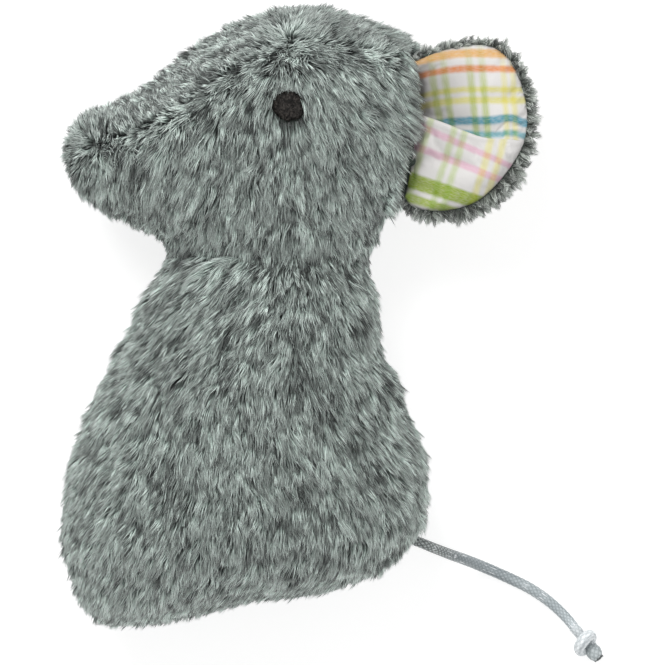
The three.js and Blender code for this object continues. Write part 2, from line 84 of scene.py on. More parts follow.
# ---------------------------------------------------------------- camera first
LENS, SENSOR, FRAME_PX = 1200.0, 36.0, 665
cam_data = bpy.data.cameras.new("camera")
cam_data.lens = LENS
cam_data.sensor_width = SENSOR
cam = bpy.data.objects.new("camera", cam_data)
bpy.context.scene.collection.objects.link(cam)
cx, cy = float(X(332.5)), float(Y(332.5))
dist = (FRAME_PX * K / 2) / (SENSOR / 2 / LENS)
cam.location = (cx * MM, cy * MM, (dist + Z_SEAM) * MM)
cam.rotation_euler = (0, 0, 0)
cam_data.clip_start, cam_data.clip_end = 0.05, 50
bpy.context.scene.camera = cam


# -------------------------------------------------------------------- meshes
def make_object(name, verts, faces, uv=None, uv_name="OFBake", smooth=True, loops_uv=None):
    """A mesh object from arrays in millimetres. faces is (n, 3) or (n, 4)."""
    verts = np.asarray(verts, np.float64) * MM
    faces = np.asarray(faces, np.int32)
    n, k = faces.shape
    me = bpy.data.meshes.new(name)
    me.vertices.add(len(verts))
    me.vertices.foreach_set("co", verts.astype(np.float32).ravel())
    me.loops.add(n * k)
    me.loops.foreach_set("vertex_index", faces.ravel())
    me.polygons.add(n)
    me.polygons.foreach_set("loop_start", np.arange(0, n * k, k, dtype=np.int32))
    me.update(calc_edges=True)
    if smooth:
        me.polygons.foreach_set("use_smooth", np.ones(n, bool))
    if uv is not None:
        layer = me.uv_layers.new(name=uv_name)
        layer.data.foreach_set("uv", np.asarray(uv, np.float32)[faces.ravel()].ravel())
    if loops_uv is not None:
        layer = me.uv_layers.new(name=uv_name)
        layer.data.foreach_set("uv", np.asarray(loops_uv, np.float32).ravel())
    me.validate()
    me.update()
    o = bpy.data.objects.new(name, me)
    bpy.context.scene.collection.objects.link(o)
    return o


def unit(v):
    return v / np.maximum(np.linalg.norm(v, axis=-1, keepdims=True), 1e-12)


def catmull(points, per, closed=False):
    """A centripetal curve through the points, per steps on each stretch."""
    p = np.asarray(points, float)
    n = len(p)
    out = []
    t = np.linspace(0, 1, per, endpoint=False)[:, None]
    for i in range(n if closed else n - 1):
        p1, p2 = p[i], p[(i + 1) % n]
        p0 = p[i - 1] if (closed or i > 0) else 2 * p1 - p2
        p3 = p[(i + 2) % n] if (closed or i + 2 < n) else 2 * p2 - p1
        d0, d1, d2 = (max(np.linalg.norm(b - a), 1e-9) ** 0.5 for a, b in ((p0, p1), (p1, p2), (p2, p3)))
        t1 = ((p1 - p0) / d0 - (p2 - p0) / (d0 + d1) + (p2 - p1) / d1) * d1
        t2 = ((p2 - p1) / d1 - (p3 - p1) / (d1 + d2) + (p3 - p2) / d2) * d1
        out.append(p1 + t1 * t + (-3 * p1 + 3 * p2 - 2 * t1 - t2) * t ** 2 + (2 * p1 - 2 * p2 + t1 + t2) * t ** 3)
    if not closed:
        out.append(p[-1:])
    return np.concatenate(out)


def resample(line, step, closed=False):
    """Points at even distances along a line."""
    q = np.vstack([line, line[:1]]) if closed else np.asarray(line, float)
    s = np.concatenate([[0], np.cumsum(np.linalg.norm(np.diff(q, axis=0), axis=1))])
    n = max(3, int(round(s[-1] / step)))
    at = np.linspace(0, s[-1], n, endpoint=not closed)
    return np.stack([np.interp(at, s, q[:, i]) for i in range(q.shape[1])], 1)


def sweep(path, radius, sides, relief=None, twist=0.0, cap=True, start_normal=(0, 0, 1)):
    """A closed tube along a path. radius is a number or one per point; relief(angle, distance) multiplies it."""
    path = np.asarray(path, float)
    n = len(path)
    tan = unit(np.gradient(path, axis=0))
    a = np.zeros((n, 3))
    ref = np.asarray(start_normal, float)
    for i in range(n):
        ref = ref - tan[i] * (ref @ tan[i])
        ref = ref / np.linalg.norm(ref)
        a[i] = ref
    b = np.cross(tan, a)
    s = np.concatenate([[0], np.cumsum(np.linalg.norm(np.diff(path, axis=0), axis=1))])
    th = np.arange(sides) / sides * 2 * np.pi
    r = np.broadcast_to(np.asarray(radius, float), (n,))[:, None] * np.ones((1, sides))
    if relief is not None:
        r = r * relief(th[None, :], s[:, None])
    v = path[:, None, :] + r[..., None] * (np.cos(th)[None, :, None] * a[:, None, :] + np.sin(th)[None, :, None] * b[:, None, :])
    verts = v.reshape(-1, 3)
    i = np.arange(n - 1)[:, None] * sides
    j = np.arange(sides)[None, :]
    jn = (j + 1) % sides
    q = np.stack([i + j, i + jn, i + jn + sides, i + j + sides], -1).reshape(-1, 4)
    tris = np.concatenate([q[:, [0, 1, 2]], q[:, [0, 2, 3]]])
    u = np.stack([np.broadcast_to(th / (2 * np.pi), (n, sides)), np.broadcast_to((s / s[-1])[:, None], (n, sides))], -1).reshape(-1, 2)
    if cap:
        verts = np.vstack([verts, path[0], path[-1]])
        u = np.vstack([u, [0.5, 0.0], [0.5, 1.0]])
        c0, c1 = len(verts) - 2, len(verts) - 1
        jj = np.arange(sides)
        jj1 = (jj + 1) % sides
        tris = np.concatenate([tris, np.stack([np.full(sides, c0), jj1, jj], -1),
                               np.stack([np.full(sides, c1), (n - 1) * sides + jj, (n - 1) * sides + jj1], -1)])
    return verts, tris, u, s


def smoothstep(t):
    t = np.clip(t, 0, 1)
    return t * t * (3 - 2 * t)


def waves(p, length, seed, n=14):
    """Smooth noise about 1 in size, from sine waves of about that length in millimetres."""
    g = np.random.default_rng(seed)
    k = unit(g.normal(size=(n, 3))) * (2 * np.pi / length) * g.uniform(0.6, 1.5, (n, 1))
    ph = g.uniform(0, 2 * np.pi, n)
    return np.sin(p @ k.T + ph).sum(1) / math.sqrt(n / 2)


def seg_distance(q, line):
    """Distance in the plane from each point to a line of points."""
    best = np.full(len(q), 1e9)
    for a, b in zip(line[:-1], line[1:]):
        d = b - a
        t = np.clip(((q - a) @ d) / max(d @ d, 1e-12), 0, 1)
        best = np.minimum(best, np.linalg.norm(q - (a + t[:, None] * d), axis=1))
    return best


def inside(q, poly):
    """Which points lie in a polygon."""
    r = np.zeros(len(q), bool)
    j = len(poly) - 1
    for i in range(len(poly)):
        xi, yi = poly[i]
        xj, yj = poly[j]
        hit = ((yi > q[:, 1]) != (yj > q[:, 1])) & (q[:, 0] < (xj - xi) * (q[:, 1] - yi) / (yj - yi + 1e-15) + xi)
        r ^= hit
        j = i
    return r


# ----------------------------------------------------------------- materials
def new_material(name, rough=0.7, spec=0.3, sheen=0.0, sheen_rough=0.5):
    m = bpy.data.materials.new(name)
    m.use_nodes = True
    b = m.node_tree.nodes["Principled BSDF"]
    b.inputs["Roughness"].default_value = rough
    b.inputs["Specular IOR Level"].default_value = spec
    b.inputs["Sheen Weight"].default_value = sheen
    b.inputs["Sheen Roughness"].default_value = sheen_rough
    return m, m.node_tree, b


def node(nt, kind, **values):
    n = nt.nodes.new(kind)
    for k, v in values.items():
        setattr(n, k, v)
    return n


def ramp(nt, stops, fac=None, interpolation="LINEAR"):
    n = nt.nodes.new("ShaderNodeValToRGB")
    n.color_ramp.interpolation = interpolation
    e = n.color_ramp.elements
    while len(e) > 1:
        e.remove(e[-1])
    e[0].position, e[0].color = stops[0][0], (*stops[0][1], 1)
    for p, c in stops[1:]:
        s = e.new(p)
        s.color = (*c, 1)
    if fac is not None:
        nt.links.new(fac, n.inputs["Fac"])
    return n.outputs["Color"]


def math_node(nt, op, a, b=None, c=None, clamp=False):
    n = nt.nodes.new("ShaderNodeMath")
    n.operation = op
    n.use_clamp = clamp
    for i, v in enumerate((a, b, c)):
        if v is None:
            continue
        if isinstance(v, (int, float)):
            n.inputs[i].default_value = v
        else:
            nt.links.new(v, n.inputs[i])
    return n.outputs[0]


def mix_rgb(nt, blend, fac, a, b):
    n = nt.nodes.new("ShaderNodeMix")
    n.data_type = "RGBA"
    n.blend_type = blend
    for sock, v in ((n.inputs[0], fac), (n.inputs[6], a), (n.inputs[7], b)):
        if isinstance(v, (int, float)):
            sock.default_value = v
        elif isinstance(v, tuple):
            sock.default_value = (*v, 1)
        else:
            nt.links.new(v, sock)
    return n.outputs[2]


def fur_material(name, root, mid, tip, lo=0.45, hi=1.55, rough=0.62, sheen=0.15, at=0.5):
    """Pile: the colour runs from root to tip (v), brighter or darker by strand (u)."""
    m, nt, b = new_material(name, rough, 0.28, sheen, 0.45)
    uv = node(nt, "ShaderNodeUVMap", uv_map="OFBake")
    sep = node(nt, "ShaderNodeSeparateXYZ")
    nt.links.new(uv.outputs[0], sep.inputs[0])
    col = ramp(nt, [(0.0, root), (at, mid), (1.0, tip)], sep.outputs[1])
    mr = node(nt, "ShaderNodeMapRange")
    mr.inputs["To Min"].default_value = lo
    mr.inputs["To Max"].default_value = hi
    nt.links.new(sep.outputs[0], mr.inputs["Value"])
    sc = node(nt, "ShaderNodeVectorMath", operation="SCALE")
    nt.links.new(col, sc.inputs[0])
    nt.links.new(mr.outputs[0], sc.inputs["Scale"])
    nt.links.new(sc.outputs[0], b.inputs["Base Color"])
    return m


def knit_material(name, dark, light, scale=1400.0, bump=0.3):
    """Backing cloth between the roots of the pile."""
    m, nt, b = new_material(name, 0.9, 0.15, 0.1)
    tc = node(nt, "ShaderNodeTexCoord")
    nz = node(nt, "ShaderNodeTexNoise")
    nz.inputs["Scale"].default_value = scale
    nz.inputs["Detail"].default_value = 3
    nt.links.new(tc.outputs["Object"], nz.inputs["Vector"])
    nt.links.new(ramp(nt, [(0.3, dark), (0.7, light)], nz.outputs[0]), b.inputs["Base Color"])
    bm = node(nt, "ShaderNodeBump")
    bm.inputs["Strength"].default_value = bump
    bm.inputs["Distance"].default_value = 0.0003
    nt.links.new(nz.outputs[0], bm.inputs["Height"])
    nt.links.new(bm.outputs[0], b.inputs["Normal"])
    return m


def thread_material(name, dark, light, rough=0.55):
    """Twisted sewing thread: fine slanting stripes along it."""
    m, nt, b = new_material(name, rough, 0.4, 0.1)
    tc = node(nt, "ShaderNodeTexCoord")
    w = node(nt, "ShaderNodeTexWave", wave_type="BANDS", bands_direction="DIAGONAL")
    w.inputs["Scale"].default_value = 700.0
    w.inputs["Distortion"].default_value = 2.0
    nt.links.new(tc.outputs["Object"], w.inputs["Vector"])
    nt.links.new(ramp(nt, [(0.2, dark), (0.8, light)], w.outputs[0]), b.inputs["Base Color"])
    bm = node(nt, "ShaderNodeBump")
    bm.inputs["Strength"].default_value = 0.4
    bm.inputs["Distance"].default_value = 0.0002
    nt.links.new(w.outputs[0], bm.inputs["Height"])
    nt.links.new(bm.outputs[0], b.inputs["Normal"])
    return m


FUR = fur_material("pile", (0.044, 0.0590, 0.0507), (0.236, 0.2870, 0.2625), (0.822, 0.902, 0.861), 0.12, 1.88, 0.68, 0.2)
# the backing cloth is coloured dark: painted shade between the roots of the pile
BACKING_SHADED = knit_material("backing", (0.038, 0.048, 0.042), (0.080, 0.099, 0.087))
SEAM_THREAD = thread_material("seam_thread", (0.03, 0.035, 0.033), (0.09, 0.10, 0.095))
FILLING = knit_material("filling", (0.55, 0.55, 0.54), (0.85, 0.85, 0.84), 500.0, 0.6)


# ------------------------------------------------------------ tail and its knot
TAIL_ROUTE = [
    (416, 541, 22.0), (423, 543.6, 21.4), (431, 547, 19.5), (441, 551, 16.0), (451, 555, 12.0), (462, 559, 8.2), (473, 563.2, 5.0),
    (485, 568.2, 2.8), (499, 574.2, 1.75), (514, 581, 1.5), (530, 589, 1.5), (545, 598.8, 1.5), (557, 608.6, 1.5), (568, 619.6, 1.8), (577, 630.6, 2.5),
]


def satin_material(name, dark, base, light, glints=0.66, near=None):
    """Braided satin cord: painted shade in the furrows between the yarns, painted highlight on their crowns, and long
    painted glints.
    """
    m, nt, b = new_material(name, 0.38, 0.6, 0.1, 0.3)
    uv = node(nt, "ShaderNodeUVMap", uv_map="Braid")
    sep = node(nt, "ShaderNodeSeparateXYZ")
    nt.links.new(uv.outputs[0], sep.inputs[0])
    # colour by the braid's height: painted shade in the furrows, painted highlight on the crowns
    col = ramp(nt, [(0.0, dark), (0.5, base), (1.0, light)], sep.outputs[1])
    along = node(nt, "ShaderNodeUVMap", uv_map="Along")
    if near is not None:
        # near the body the furrows get darker painted shade and the crowns brighter painted highlights, fading further
        # out
        way = node(nt, "ShaderNodeSeparateXYZ")
        nt.links.new(along.outputs[0], way.inputs[0])
        furrow_shade_near_body = node(nt, "ShaderNodeMapRange", interpolation_type="SMOOTHSTEP")
        furrow_shade_near_body.inputs["From Min"].default_value = 0.12
        furrow_shade_near_body.inputs["From Max"].default_value = 0.34
        furrow_shade_near_body.inputs["To Min"].default_value = 0.9
        furrow_shade_near_body.inputs["To Max"].default_value = 0.0
        nt.links.new(way.outputs[1], furrow_shade_near_body.inputs["Value"])
        col = mix_rgb(nt, "MIX", furrow_shade_near_body.outputs[0], col, ramp(nt, [(0.25, near[0]), (0.6, near[1]), (1.0, near[2])], sep.outputs[1]))
        # painted sheen: the cord gets lighter towards its far end
        painted_sheen = ramp(nt, [(0.0, (0.90, 0.90, 0.89)), (0.5, (1.0, 1.0, 1.0)), (0.68, (1.12, 1.12, 1.11)), (0.86, (1.62, 1.60, 1.58))], way.outputs[1])
        col = mix_rgb(nt, "MULTIPLY", 1.0, col, painted_sheen)
    mp = node(nt, "ShaderNodeMapping")
    mp.inputs["Scale"].default_value = (13.0, 15.0, 1.0)
    mp.inputs["Location"].default_value = (2.3, 6.1, 0.0)
    nt.links.new(along.outputs[0], mp.inputs["Vector"])
    streak = node(nt, "ShaderNodeTexNoise")
    streak.inputs["Scale"].default_value = 1.0
    streak.inputs["Detail"].default_value = 2
    nt.links.new(mp.outputs[0], streak.inputs["Vector"])
    # painted glints: long near-white streaks mixed into the colour
    painted_glint = ramp(nt, [(glints - 0.05, (0, 0, 0)), (glints + 0.03, (1, 1, 1))], streak.outputs[0])
    big = node(nt, "ShaderNodeTexNoise")
    big.inputs["Scale"].default_value = 0.35
    big.inputs["Detail"].default_value = 3
    nt.links.new(mp.outputs[0], big.inputs["Vector"])
    shade = ramp(nt, [(0.3, (0.62, 0.65, 0.67)), (0.7, (1.25, 1.25, 1.25))], big.outputs[0])
    col = mix_rgb(nt, "MULTIPLY", 1.0, col, shade)
    bw = node(nt, "ShaderNodeRGBToBW")
    nt.links.new(painted_glint, bw.inputs[0])
    col = mix_rgb(nt, "MIX", math_node(nt, "MULTIPLY", bw.outputs[0], 0.75), col, (0.88, 0.90, 0.92))
    nt.links.new(col, b.inputs["Base Color"])
    bm = node(nt, "ShaderNodeBump")
    bm.inputs["Strength"].default_value = 0.3
    bm.inputs["Distance"].default_value = 0.0001
    nt.links.new(streak.outputs[0], bm.inputs["Height"])
    nt.links.new(bm.outputs[0], b.inputs["Normal"])
    return m


def braid(turns, pitch):
    """Relief of a round braid: two sets of yarns that cross, as (angle, distance) to radius share and height."""
    def height(th, s):
        a = turns * th + 2 * np.pi * s / pitch
        c = turns * th - 2 * np.pi * s / pitch
        over = np.sin((a + c) / 2) * np.sin((a - c) / 2)
        ya, yc = np.abs(np.cos(a / 2)), np.abs(np.cos(c / 2))
        return np.where(over > 0, ya, yc) ** 0.8
    return height


def cord_mesh(path, radius, name, pitch=1.35, sides=36, depth=0.06):
    hb = braid(8, pitch)
    path = resample(path, 0.1)
    if np.ndim(radius):
        radius = np.interp(np.linspace(0, 1, len(path)), np.linspace(0, 1, len(radius)), radius)
    v, f, u, s = sweep(path, radius, sides, lambda th, s: 1 - depth + depth * hb(th, s))
    th = np.arange(sides) / sides * 2 * np.pi
    hv = np.concatenate([hb(th[None, :], s[:, None]).ravel(), [0.0, 0.0]])
    uv = np.column_stack([u[:, 0], np.clip(hv, 0.01, 0.99)])
    o = make_object(name, v, f, uv, uv_name="Braid")
    # second map: round the cord, and along it in parts of 60 mm
    along = np.column_stack([0.5 + 0.5 * np.cos(2 * np.pi * u[:, 0]) * 0.98, np.concatenate([np.repeat(s, sides), [0, s[-1]]]) / 60.0])
    layer = o.data.uv_layers.new(name="Along")
    layer.data.foreach_set("uv", along[f.ravel()].astype(np.float32).ravel())
    return o, path


SATIN = satin_material("satin_cord", (0.155, 0.172, 0.180), (0.25, 0.28, 0.292), (0.34, 0.375, 0.392),
                       near=((0.045, 0.050, 0.048), (0.20, 0.222, 0.218), (0.46, 0.49, 0.485)))
# lighter copies of the satin for the knot and the cut end: painted highlight where they catch the light; a dark copy
# for the cut fibres: painted shade in the cut end
SATIN_KNOT_LIT = satin_material("satin_knot_painted_highlight", (0.44, 0.46, 0.47), (0.60, 0.63, 0.64), (0.74, 0.765, 0.775), 0.64)
SATIN_END_LIT = satin_material("satin_end_painted_highlight", (0.24, 0.265, 0.268), (0.37, 0.405, 0.41), (0.50, 0.54, 0.545), 0.70)
END_FIBRES_SHADED = satin_material("cut_fibres", (0.04, 0.045, 0.045), (0.10, 0.11, 0.11), (0.22, 0.24, 0.24), 0.75)
route = np.array([(X(a), Y(b), z) for a, b, z in TAIL_ROUTE])
tail_curve = catmull(route, 12)
tail, tail_line = cord_mesh(tail_curve, CORD_R * np.array([0.93, 0.95, 0.98, 1.01, 1.02, 1.02, 1.0, 0.94, 0.88]), "tail_braid")
tail.data.materials.append(SATIN)
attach(tail, "tail")
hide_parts("tail_cord")

# an overhand knot pulled tight, then a short cut end
KNOT = [
    (574.2, 627.8, 2.3), (577.5, 631.2, 2.35), (581, 635.5, 2.1), (584.5, 640.5, 1.6), (586.3, 646, 1.35), (585, 651.2, 1.5), (581.5, 652.2, 2.5),
    (580.3, 648.3, 4.1), (583.2, 643, 5.1), (587.2, 638.2, 5.1), (591.0, 636.4, 4.2), (593.2, 639.5, 2.9), (592.2, 644, 2.1),
]
CUT_END = [(592.6, 641.6, 2.3), (592.2, 644.5, 2.0), (592.6, 648.5, 1.9), (594.3, 652.5, 2.0), (596.6, 656.0, 2.05), (598.6, 658.9, 2.0), (599.2, 659.6, 2.0)]
knot, _ = cord_mesh(catmull(np.array([(X(a), Y(b), z) for a, b, z in KNOT]), 12),
                    [1.28, 1.3, 1.2, 1.15, 1.15, 1.25, 1.3, 1.4, 1.5, 1.5, 1.35, 1.1, 0.8], "tail_overhand_knot", depth=0.025)
knot.data.materials.append(SATIN_KNOT_LIT)
cut_end, _ = cord_mesh(catmull(np.array([(X(a), Y(b), z) for a, b, z in CUT_END]), 12), [0.7, 1.25, 1.65, 1.88, 1.92, 1.7, 1.15], "tail_cut_end", depth=0.035)
cut_end.data.materials.append(SATIN_END_LIT)


def cut_fibres(gen, tip, way, n=150):
    """The brush of filaments at the cut end of the cord."""
    vs, fs, base = [], [], 0
    way = way / np.linalg.norm(way)
    a = np.cross(way, [0, 0, 1.0])
    a /= np.linalg.norm(a)
    b = np.cross(way, a)
    for i in range(n):
        r, th = 1.15 * math.sqrt(gen.uniform(0, 1)), gen.uniform(0, 2 * math.pi)
        off = r * (math.cos(th) * a + math.sin(th) * b)
        s_ = np.linspace(0, 1, 4)[:, None]
        ln = 0.85 + 0.45 * gen.uniform(0, 1) - 0.25 * r
        line_ = tip - way * 0.45 + off * (1 + 0.12 * s_) + way * ln * s_ + gen.normal(0, 0.05, 3) * s_ ** 2
        line_[:, 2] = np.maximum(line_[:, 2], 0.12)
        v, f, _, _ = sweep(line_, 0.075, 4)
        vs.append(v)
        fs.append(f + base)
        base += len(v)
    return np.concatenate(vs), np.concatenate(fs)


fibre_tip = np.array([X(598.9), Y(658.6), 2.0])
v, f = cut_fibres(np.random.default_rng(77), fibre_tip, fibre_tip - np.array([X(595.2), Y(653.6), 2.0]))
u_ = np.linspace(0, 1, len(v))
fibres = make_object("tail_end_fibres", v, f, np.column_stack([u_, 0.5 + 0.49 * np.sin(np.arange(len(v)) // 18 * 2.4)]), uv_name="Braid")
layer = fibres.data.uv_layers.new(name="Along")
layer.data.foreach_set("uv", np.column_stack([u_, u_])[f.ravel()].astype(np.float32).ravel())
fibres.data.materials.append(END_FIBRES_SHADED)
for o in (knot, cut_end, fibres):
    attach(o, "tail")
    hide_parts("tail_knot")

# the cord's root in the seam, under the pile
td = unit(np.array([X(423) - X(416), Y(543.6) - Y(541), 0.0]))
stub_path = np.array([route[0] + td * a for a in (-1.05, -0.9, -0.5, 0.0, 0.4, 0.75)])
stub, _ = cord_mesh(stub_path, [0.55, 1.0, 1.22, 1.25, 1.1, 0.6], "tail_root")
stub.data.materials.append(SATIN)
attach(stub, "tail")

# -------------------------------------------------------- head and body form
OUTLINE = [
    (300, 3), (320, 5), (341, 10), (369, 20), (396, 30), (414, 40), (428, 55), (436, 80), (439, 110), (437, 140),
    (430, 168), (417, 192), (402, 208), (390, 218), (384, 226), (380, 235), (376, 245), (373, 255), (371, 266),
    (373, 278), (377, 290), (379, 305), (381, 320), (382, 338), (385, 352), (391, 363), (397, 373), (401, 382),
    (404, 394), (408, 408), (413, 420), (418, 432), (423, 445), (427, 458), (428, 475), (429, 495), (428, 512),
    (425, 525), (419, 535), (411, 545), (404, 555), (394, 565), (384, 572), (365, 580), (336, 590), (305, 596),
    (276, 600), (250, 604), (217, 611), (187, 619), (170, 624), (150, 627), (130, 628), (112, 627), (98, 623),
    (88, 615), (80, 605), (75, 592), (70, 578), (65, 562), (61, 545), (61, 530), (62, 510), (64, 490), (67, 470),
    (71, 455), (76, 440), (82, 425), (87, 410), (93, 398), (100, 382), (108, 368), (114, 354), (120, 340),
    (127, 330), (133, 318), (138, 303), (147, 288), (155, 276), (162, 264), (164, 254), (161, 243), (152, 236),
    (138, 229), (120, 222), (104, 214), (92, 206), (80, 196), (71, 186), (66, 174), (62, 161), (61, 149), (64, 137),
    (71.5, 122.5), (86, 110.5), (105, 104), (125, 96), (149, 81), (165, 67), (182, 54), (198, 43), (212, 33), (228, 25),
    (243, 19), (262, 11), (280, 6),
]
HALF_THICK = [(0, 21.5), (60, 22.3), (130, 22.8), (190, 21.2), (225, 19.2), (252, 17.4), (285, 19.4), (330, 22.0),
              (400, 24.0), (470, 24.6), (540, 24.2), (628, 22.0)]
GUSSET_SEAM = [
    (40, 148), (61, 147), (80, 146), (101, 143), (137, 135), (179, 114), (221, 84), (253, 65), (290, 48), (325, 44),
    (357, 53), (385, 59), (404, 60), (415, 66), (419, 80), (420, 98), (419, 120), (415, 150), (409, 178), (402, 196),
    (392, 210), (381, 222), (374, 236), (369, 252), (367, 266),
]
NECK_SEAM = [(40, 254), (120, 254), (165, 255), (205, 255), (245, 257), (292, 264), (335, 259), (375, 251), (410, 246), (470, 244)]
CROWN_L, BASE_L = 24.0, 26.0


def to_mm(points):
    a = np.asarray(points, float)
    return np.stack([X(a[:, 0]), Y(a[:, 1])], 1)


line = catmull(to_mm(OUTLINE), 8, closed=True)
Y_LOW, Y_TOP = line[:, 1].min(), line[:, 1].max()
N_TABLE = 900
tab_y = np.linspace(Y_LOW + 1e-4, Y_TOP - 1e-4, N_TABLE + 1)
seg_a, seg_b = line, np.roll(line, -1, axis=0)
tab_l = np.full(N_TABLE + 1, np.inf)
tab_r = np.full(N_TABLE + 1, -np.inf)
for a, b in zip(seg_a, seg_b):
    lo, hi = sorted((a[1], b[1]))
    hit = (tab_y >= lo) & (tab_y <= hi)
    if hit.any() and hi - lo > 1e-12:
        x = a[0] + (b[0] - a[0]) * (tab_y[hit] - a[1]) / (b[1] - a[1])
        tab_l[hit] = np.minimum(tab_l[hit], x)
        tab_r[hit] = np.maximum(tab_r[hit], x)


def half_thick(y):
    py = CY - y / K
    rows = np.array([r for r, _ in HALF_THICK], float)
    vals = np.array([v for _, v in HALF_THICK])
    i = np.clip(np.searchsorted(rows, py, side="right") - 1, 0, len(rows) - 2)
    t = smoothstep((py - rows[i]) / (rows[i + 1] - rows[i]))
    base = vals[i] + (vals[i + 1] - vals[i]) * t

    def cap(d, length):
        return np.sqrt(np.maximum(0, 1 - (1 - np.clip(d / length, 0, 1)) ** 2))
    return base * cap(Y_TOP - y, CROWN_L) * cap(y - Y_LOW, BASE_L)


tab_h = half_thick(tab_y)


def section(y, d):
    """Left, right and half thickness of the form moved inwards by d, at heights y."""
    y = np.atleast_1d(np.asarray(y, float))
    out = np.zeros((3, len(y)))
    for i0 in range(0, len(y), 4000):
        yy = y[i0:i0 + 4000]
        dy = np.abs(tab_y[None, :] - yy[:, None])
        near = dy <= d + 0.1
        s = np.sqrt(np.maximum(0, d * d - dy * dy))
        out[0, i0:i0 + 4000] = np.where(near, tab_l[None, :] + s, -np.inf).max(1)
        out[1, i0:i0 + 4000] = np.where(near, tab_r[None, :] - s, np.inf).min(1)
        out[2, i0:i0 + 4000] = np.maximum(0, np.where(near, tab_h[None, :] - s, np.inf).min(1))
    return out


def form_height(x, y, l, r, h):
    s = np.clip((x - (l + r) / 2) / ((r - l) / 2), -1, 1)
    head = 1 - smoothstep((CY - y / K - 195) / 60)
    snout = 1 - 0.35 * head * smoothstep((-s - 0.45) / 0.55)
    return h * np.maximum(0, 1 - s * s) ** 0.46 * snout


# The ears' frames: u outwards from the fold line, w along it, v off the plane.
EAR_TOP, EAR_LOW, EAR_Z = (413, 52), (403, 206), 30.5
ea, eb = np.array([X(413), Y(52)]), np.array([X(403), Y(206)])
EAR_O = (ea + eb) / 2
EAR_LEN = float(np.linalg.norm(ea - eb))
EAR_W = (ea - eb) / EAR_LEN
EAR_U = np.array([EAR_W[1], -EAR_W[0]])


def to_ear(p, side=1):
    """Points to u, w, v of the left ear, or of the right one with side -1."""
    q = p[:, :2] - EAR_O
    z = p[:, 2] if side > 0 else 2 * Z_SEAM - p[:, 2]
    return np.stack([q @ EAR_U, q @ EAR_W, z - EAR_Z], 1)


def from_ear(q, side=1):
    xy = EAR_O + q[:, :1] * EAR_U + q[:, 1:2] * EAR_W
    z = EAR_Z + q[:, 2]
    return np.column_stack([xy, z if side > 0 else 2 * Z_SEAM - z])


def slot_floor(u):
    """Floor of the recess under the left ear, as v."""
    return np.where(u < 0, -3.3, -3.6 - np.clip(u, 0, 16) * 0.35)


def form_mesh(d, rows, ring):
    """The form moved inwards by d, as a fine closed grid, with the ears' recesses."""
    t = np.arange(1, rows) / rows
    e = 0.66 * t + 0.34 * (0.5 - 0.5 * np.cos(np.pi * t))
    y0, y1 = Y_LOW + d, Y_TOP - d
    ys = y0 + (y1 - y0) * e
    l, r, h = section(ys, d)
    a = np.arange(ring) / ring * 2 * np.pi
    # points round each section at even angles
    xc, xw = ((l + r) / 2)[:, None], ((r - l) / 2)[:, None]
    x = xc + xw * np.cos(a)[None, :]
    yy = np.broadcast_to(ys[:, None], x.shape)
    hh = form_height(x, yy, l[:, None], r[:, None], h[:, None])
    up = np.sin(a)[None, :]
    z = np.where(up >= 0, Z_SEAM + hh, np.maximum(d, Z_SEAM - hh))
    z = np.where(np.abs(up) < 1e-9, Z_SEAM, z)
    v = np.stack([x, yy, z], -1).reshape(-1, 3)
    lowest = [(l[0] + r[0]) / 2, y0 + 0.02, Z_SEAM]
    highest = [(l[-1] + r[-1]) / 2, y1 - 0.02, Z_SEAM]
    n = len(ys)
    i = np.arange(n - 1)[:, None] * ring
    j = np.arange(ring)[None, :]
    jn = (j + 1) % ring
    q = np.stack([i + j, i + jn, i + jn + ring, i + j + ring], -1).reshape(-1, 4)
    f = np.concatenate([q[:, [0, 2, 1]], q[:, [0, 3, 2]]])
    v = np.vstack([v, lowest, highest])
    jj = np.arange(ring)
    j1 = (jj + 1) % ring
    f = np.concatenate([f, np.stack([np.full(ring, len(v) - 2), jj, j1], -1),
                        np.stack([np.full(ring, len(v) - 1), (n - 1) * ring + j1, (n - 1) * ring + jj], -1)])
    for side in (1, -1):
        q = to_ear(v, side)
        m = (q[:, 0] > -3.0) & (np.abs(q[:, 1]) < EAR_LEN / 2 + 2.6) & (v[:, 2] * side > Z_SEAM * side)
        floor = slot_floor(q[:, 0]) - max(0.0, d - 3.0)
        q[m, 2] = np.minimum(q[m, 2], floor[m])
        v[m] = from_ear(q[m], side)
    vol = np.einsum("ij,ij->i", v[f[:, 0]], np.cross(v[f[:, 1]], v[f[:, 2]])).sum()
    if vol < 0:
        f = f[:, [0, 2, 1]]
    return v, f


def normals_of(v, f):
    fn = np.cross(v[f[:, 1]] - v[f[:, 0]], v[f[:, 2]] - v[f[:, 0]])
    n = np.zeros_like(v)
    for k in range(3):
        np.add.at(n, f[:, k], fn)
    return unit(n), np.linalg.norm(fn, axis=1) / 2


skin_v, skin_f = form_mesh(PILE, 250, 190)
skin_n, skin_area = normals_of(skin_v, skin_f)

gus_mm = to_mm(GUSSET_SEAM)
neck_mm = to_mm(NECK_SEAM)
cross = next(i for i, p in enumerate(NECK_SEAM) if p[0] > GUSSET_SEAM[-1][0])
SIDE_POLY = np.vstack([gus_mm[:-1], to_mm([(368.5, 252.5)]), neck_mm[:cross][::-1]])


def region_of(p):
    """0 body left, 1 body right, 2 head left, 3 head right, 4 gusset."""
    below_neck = p[:, 1] < np.interp(p[:, 0], neck_mm[:, 0], neck_mm[:, 1])
    left = p[:, 2] >= Z_SEAM
    side = inside(p[:, :2], SIDE_POLY)
    return np.where(below_neck, np.where(left, 0, 1), np.where(side, np.where(left, 2, 3), 4))


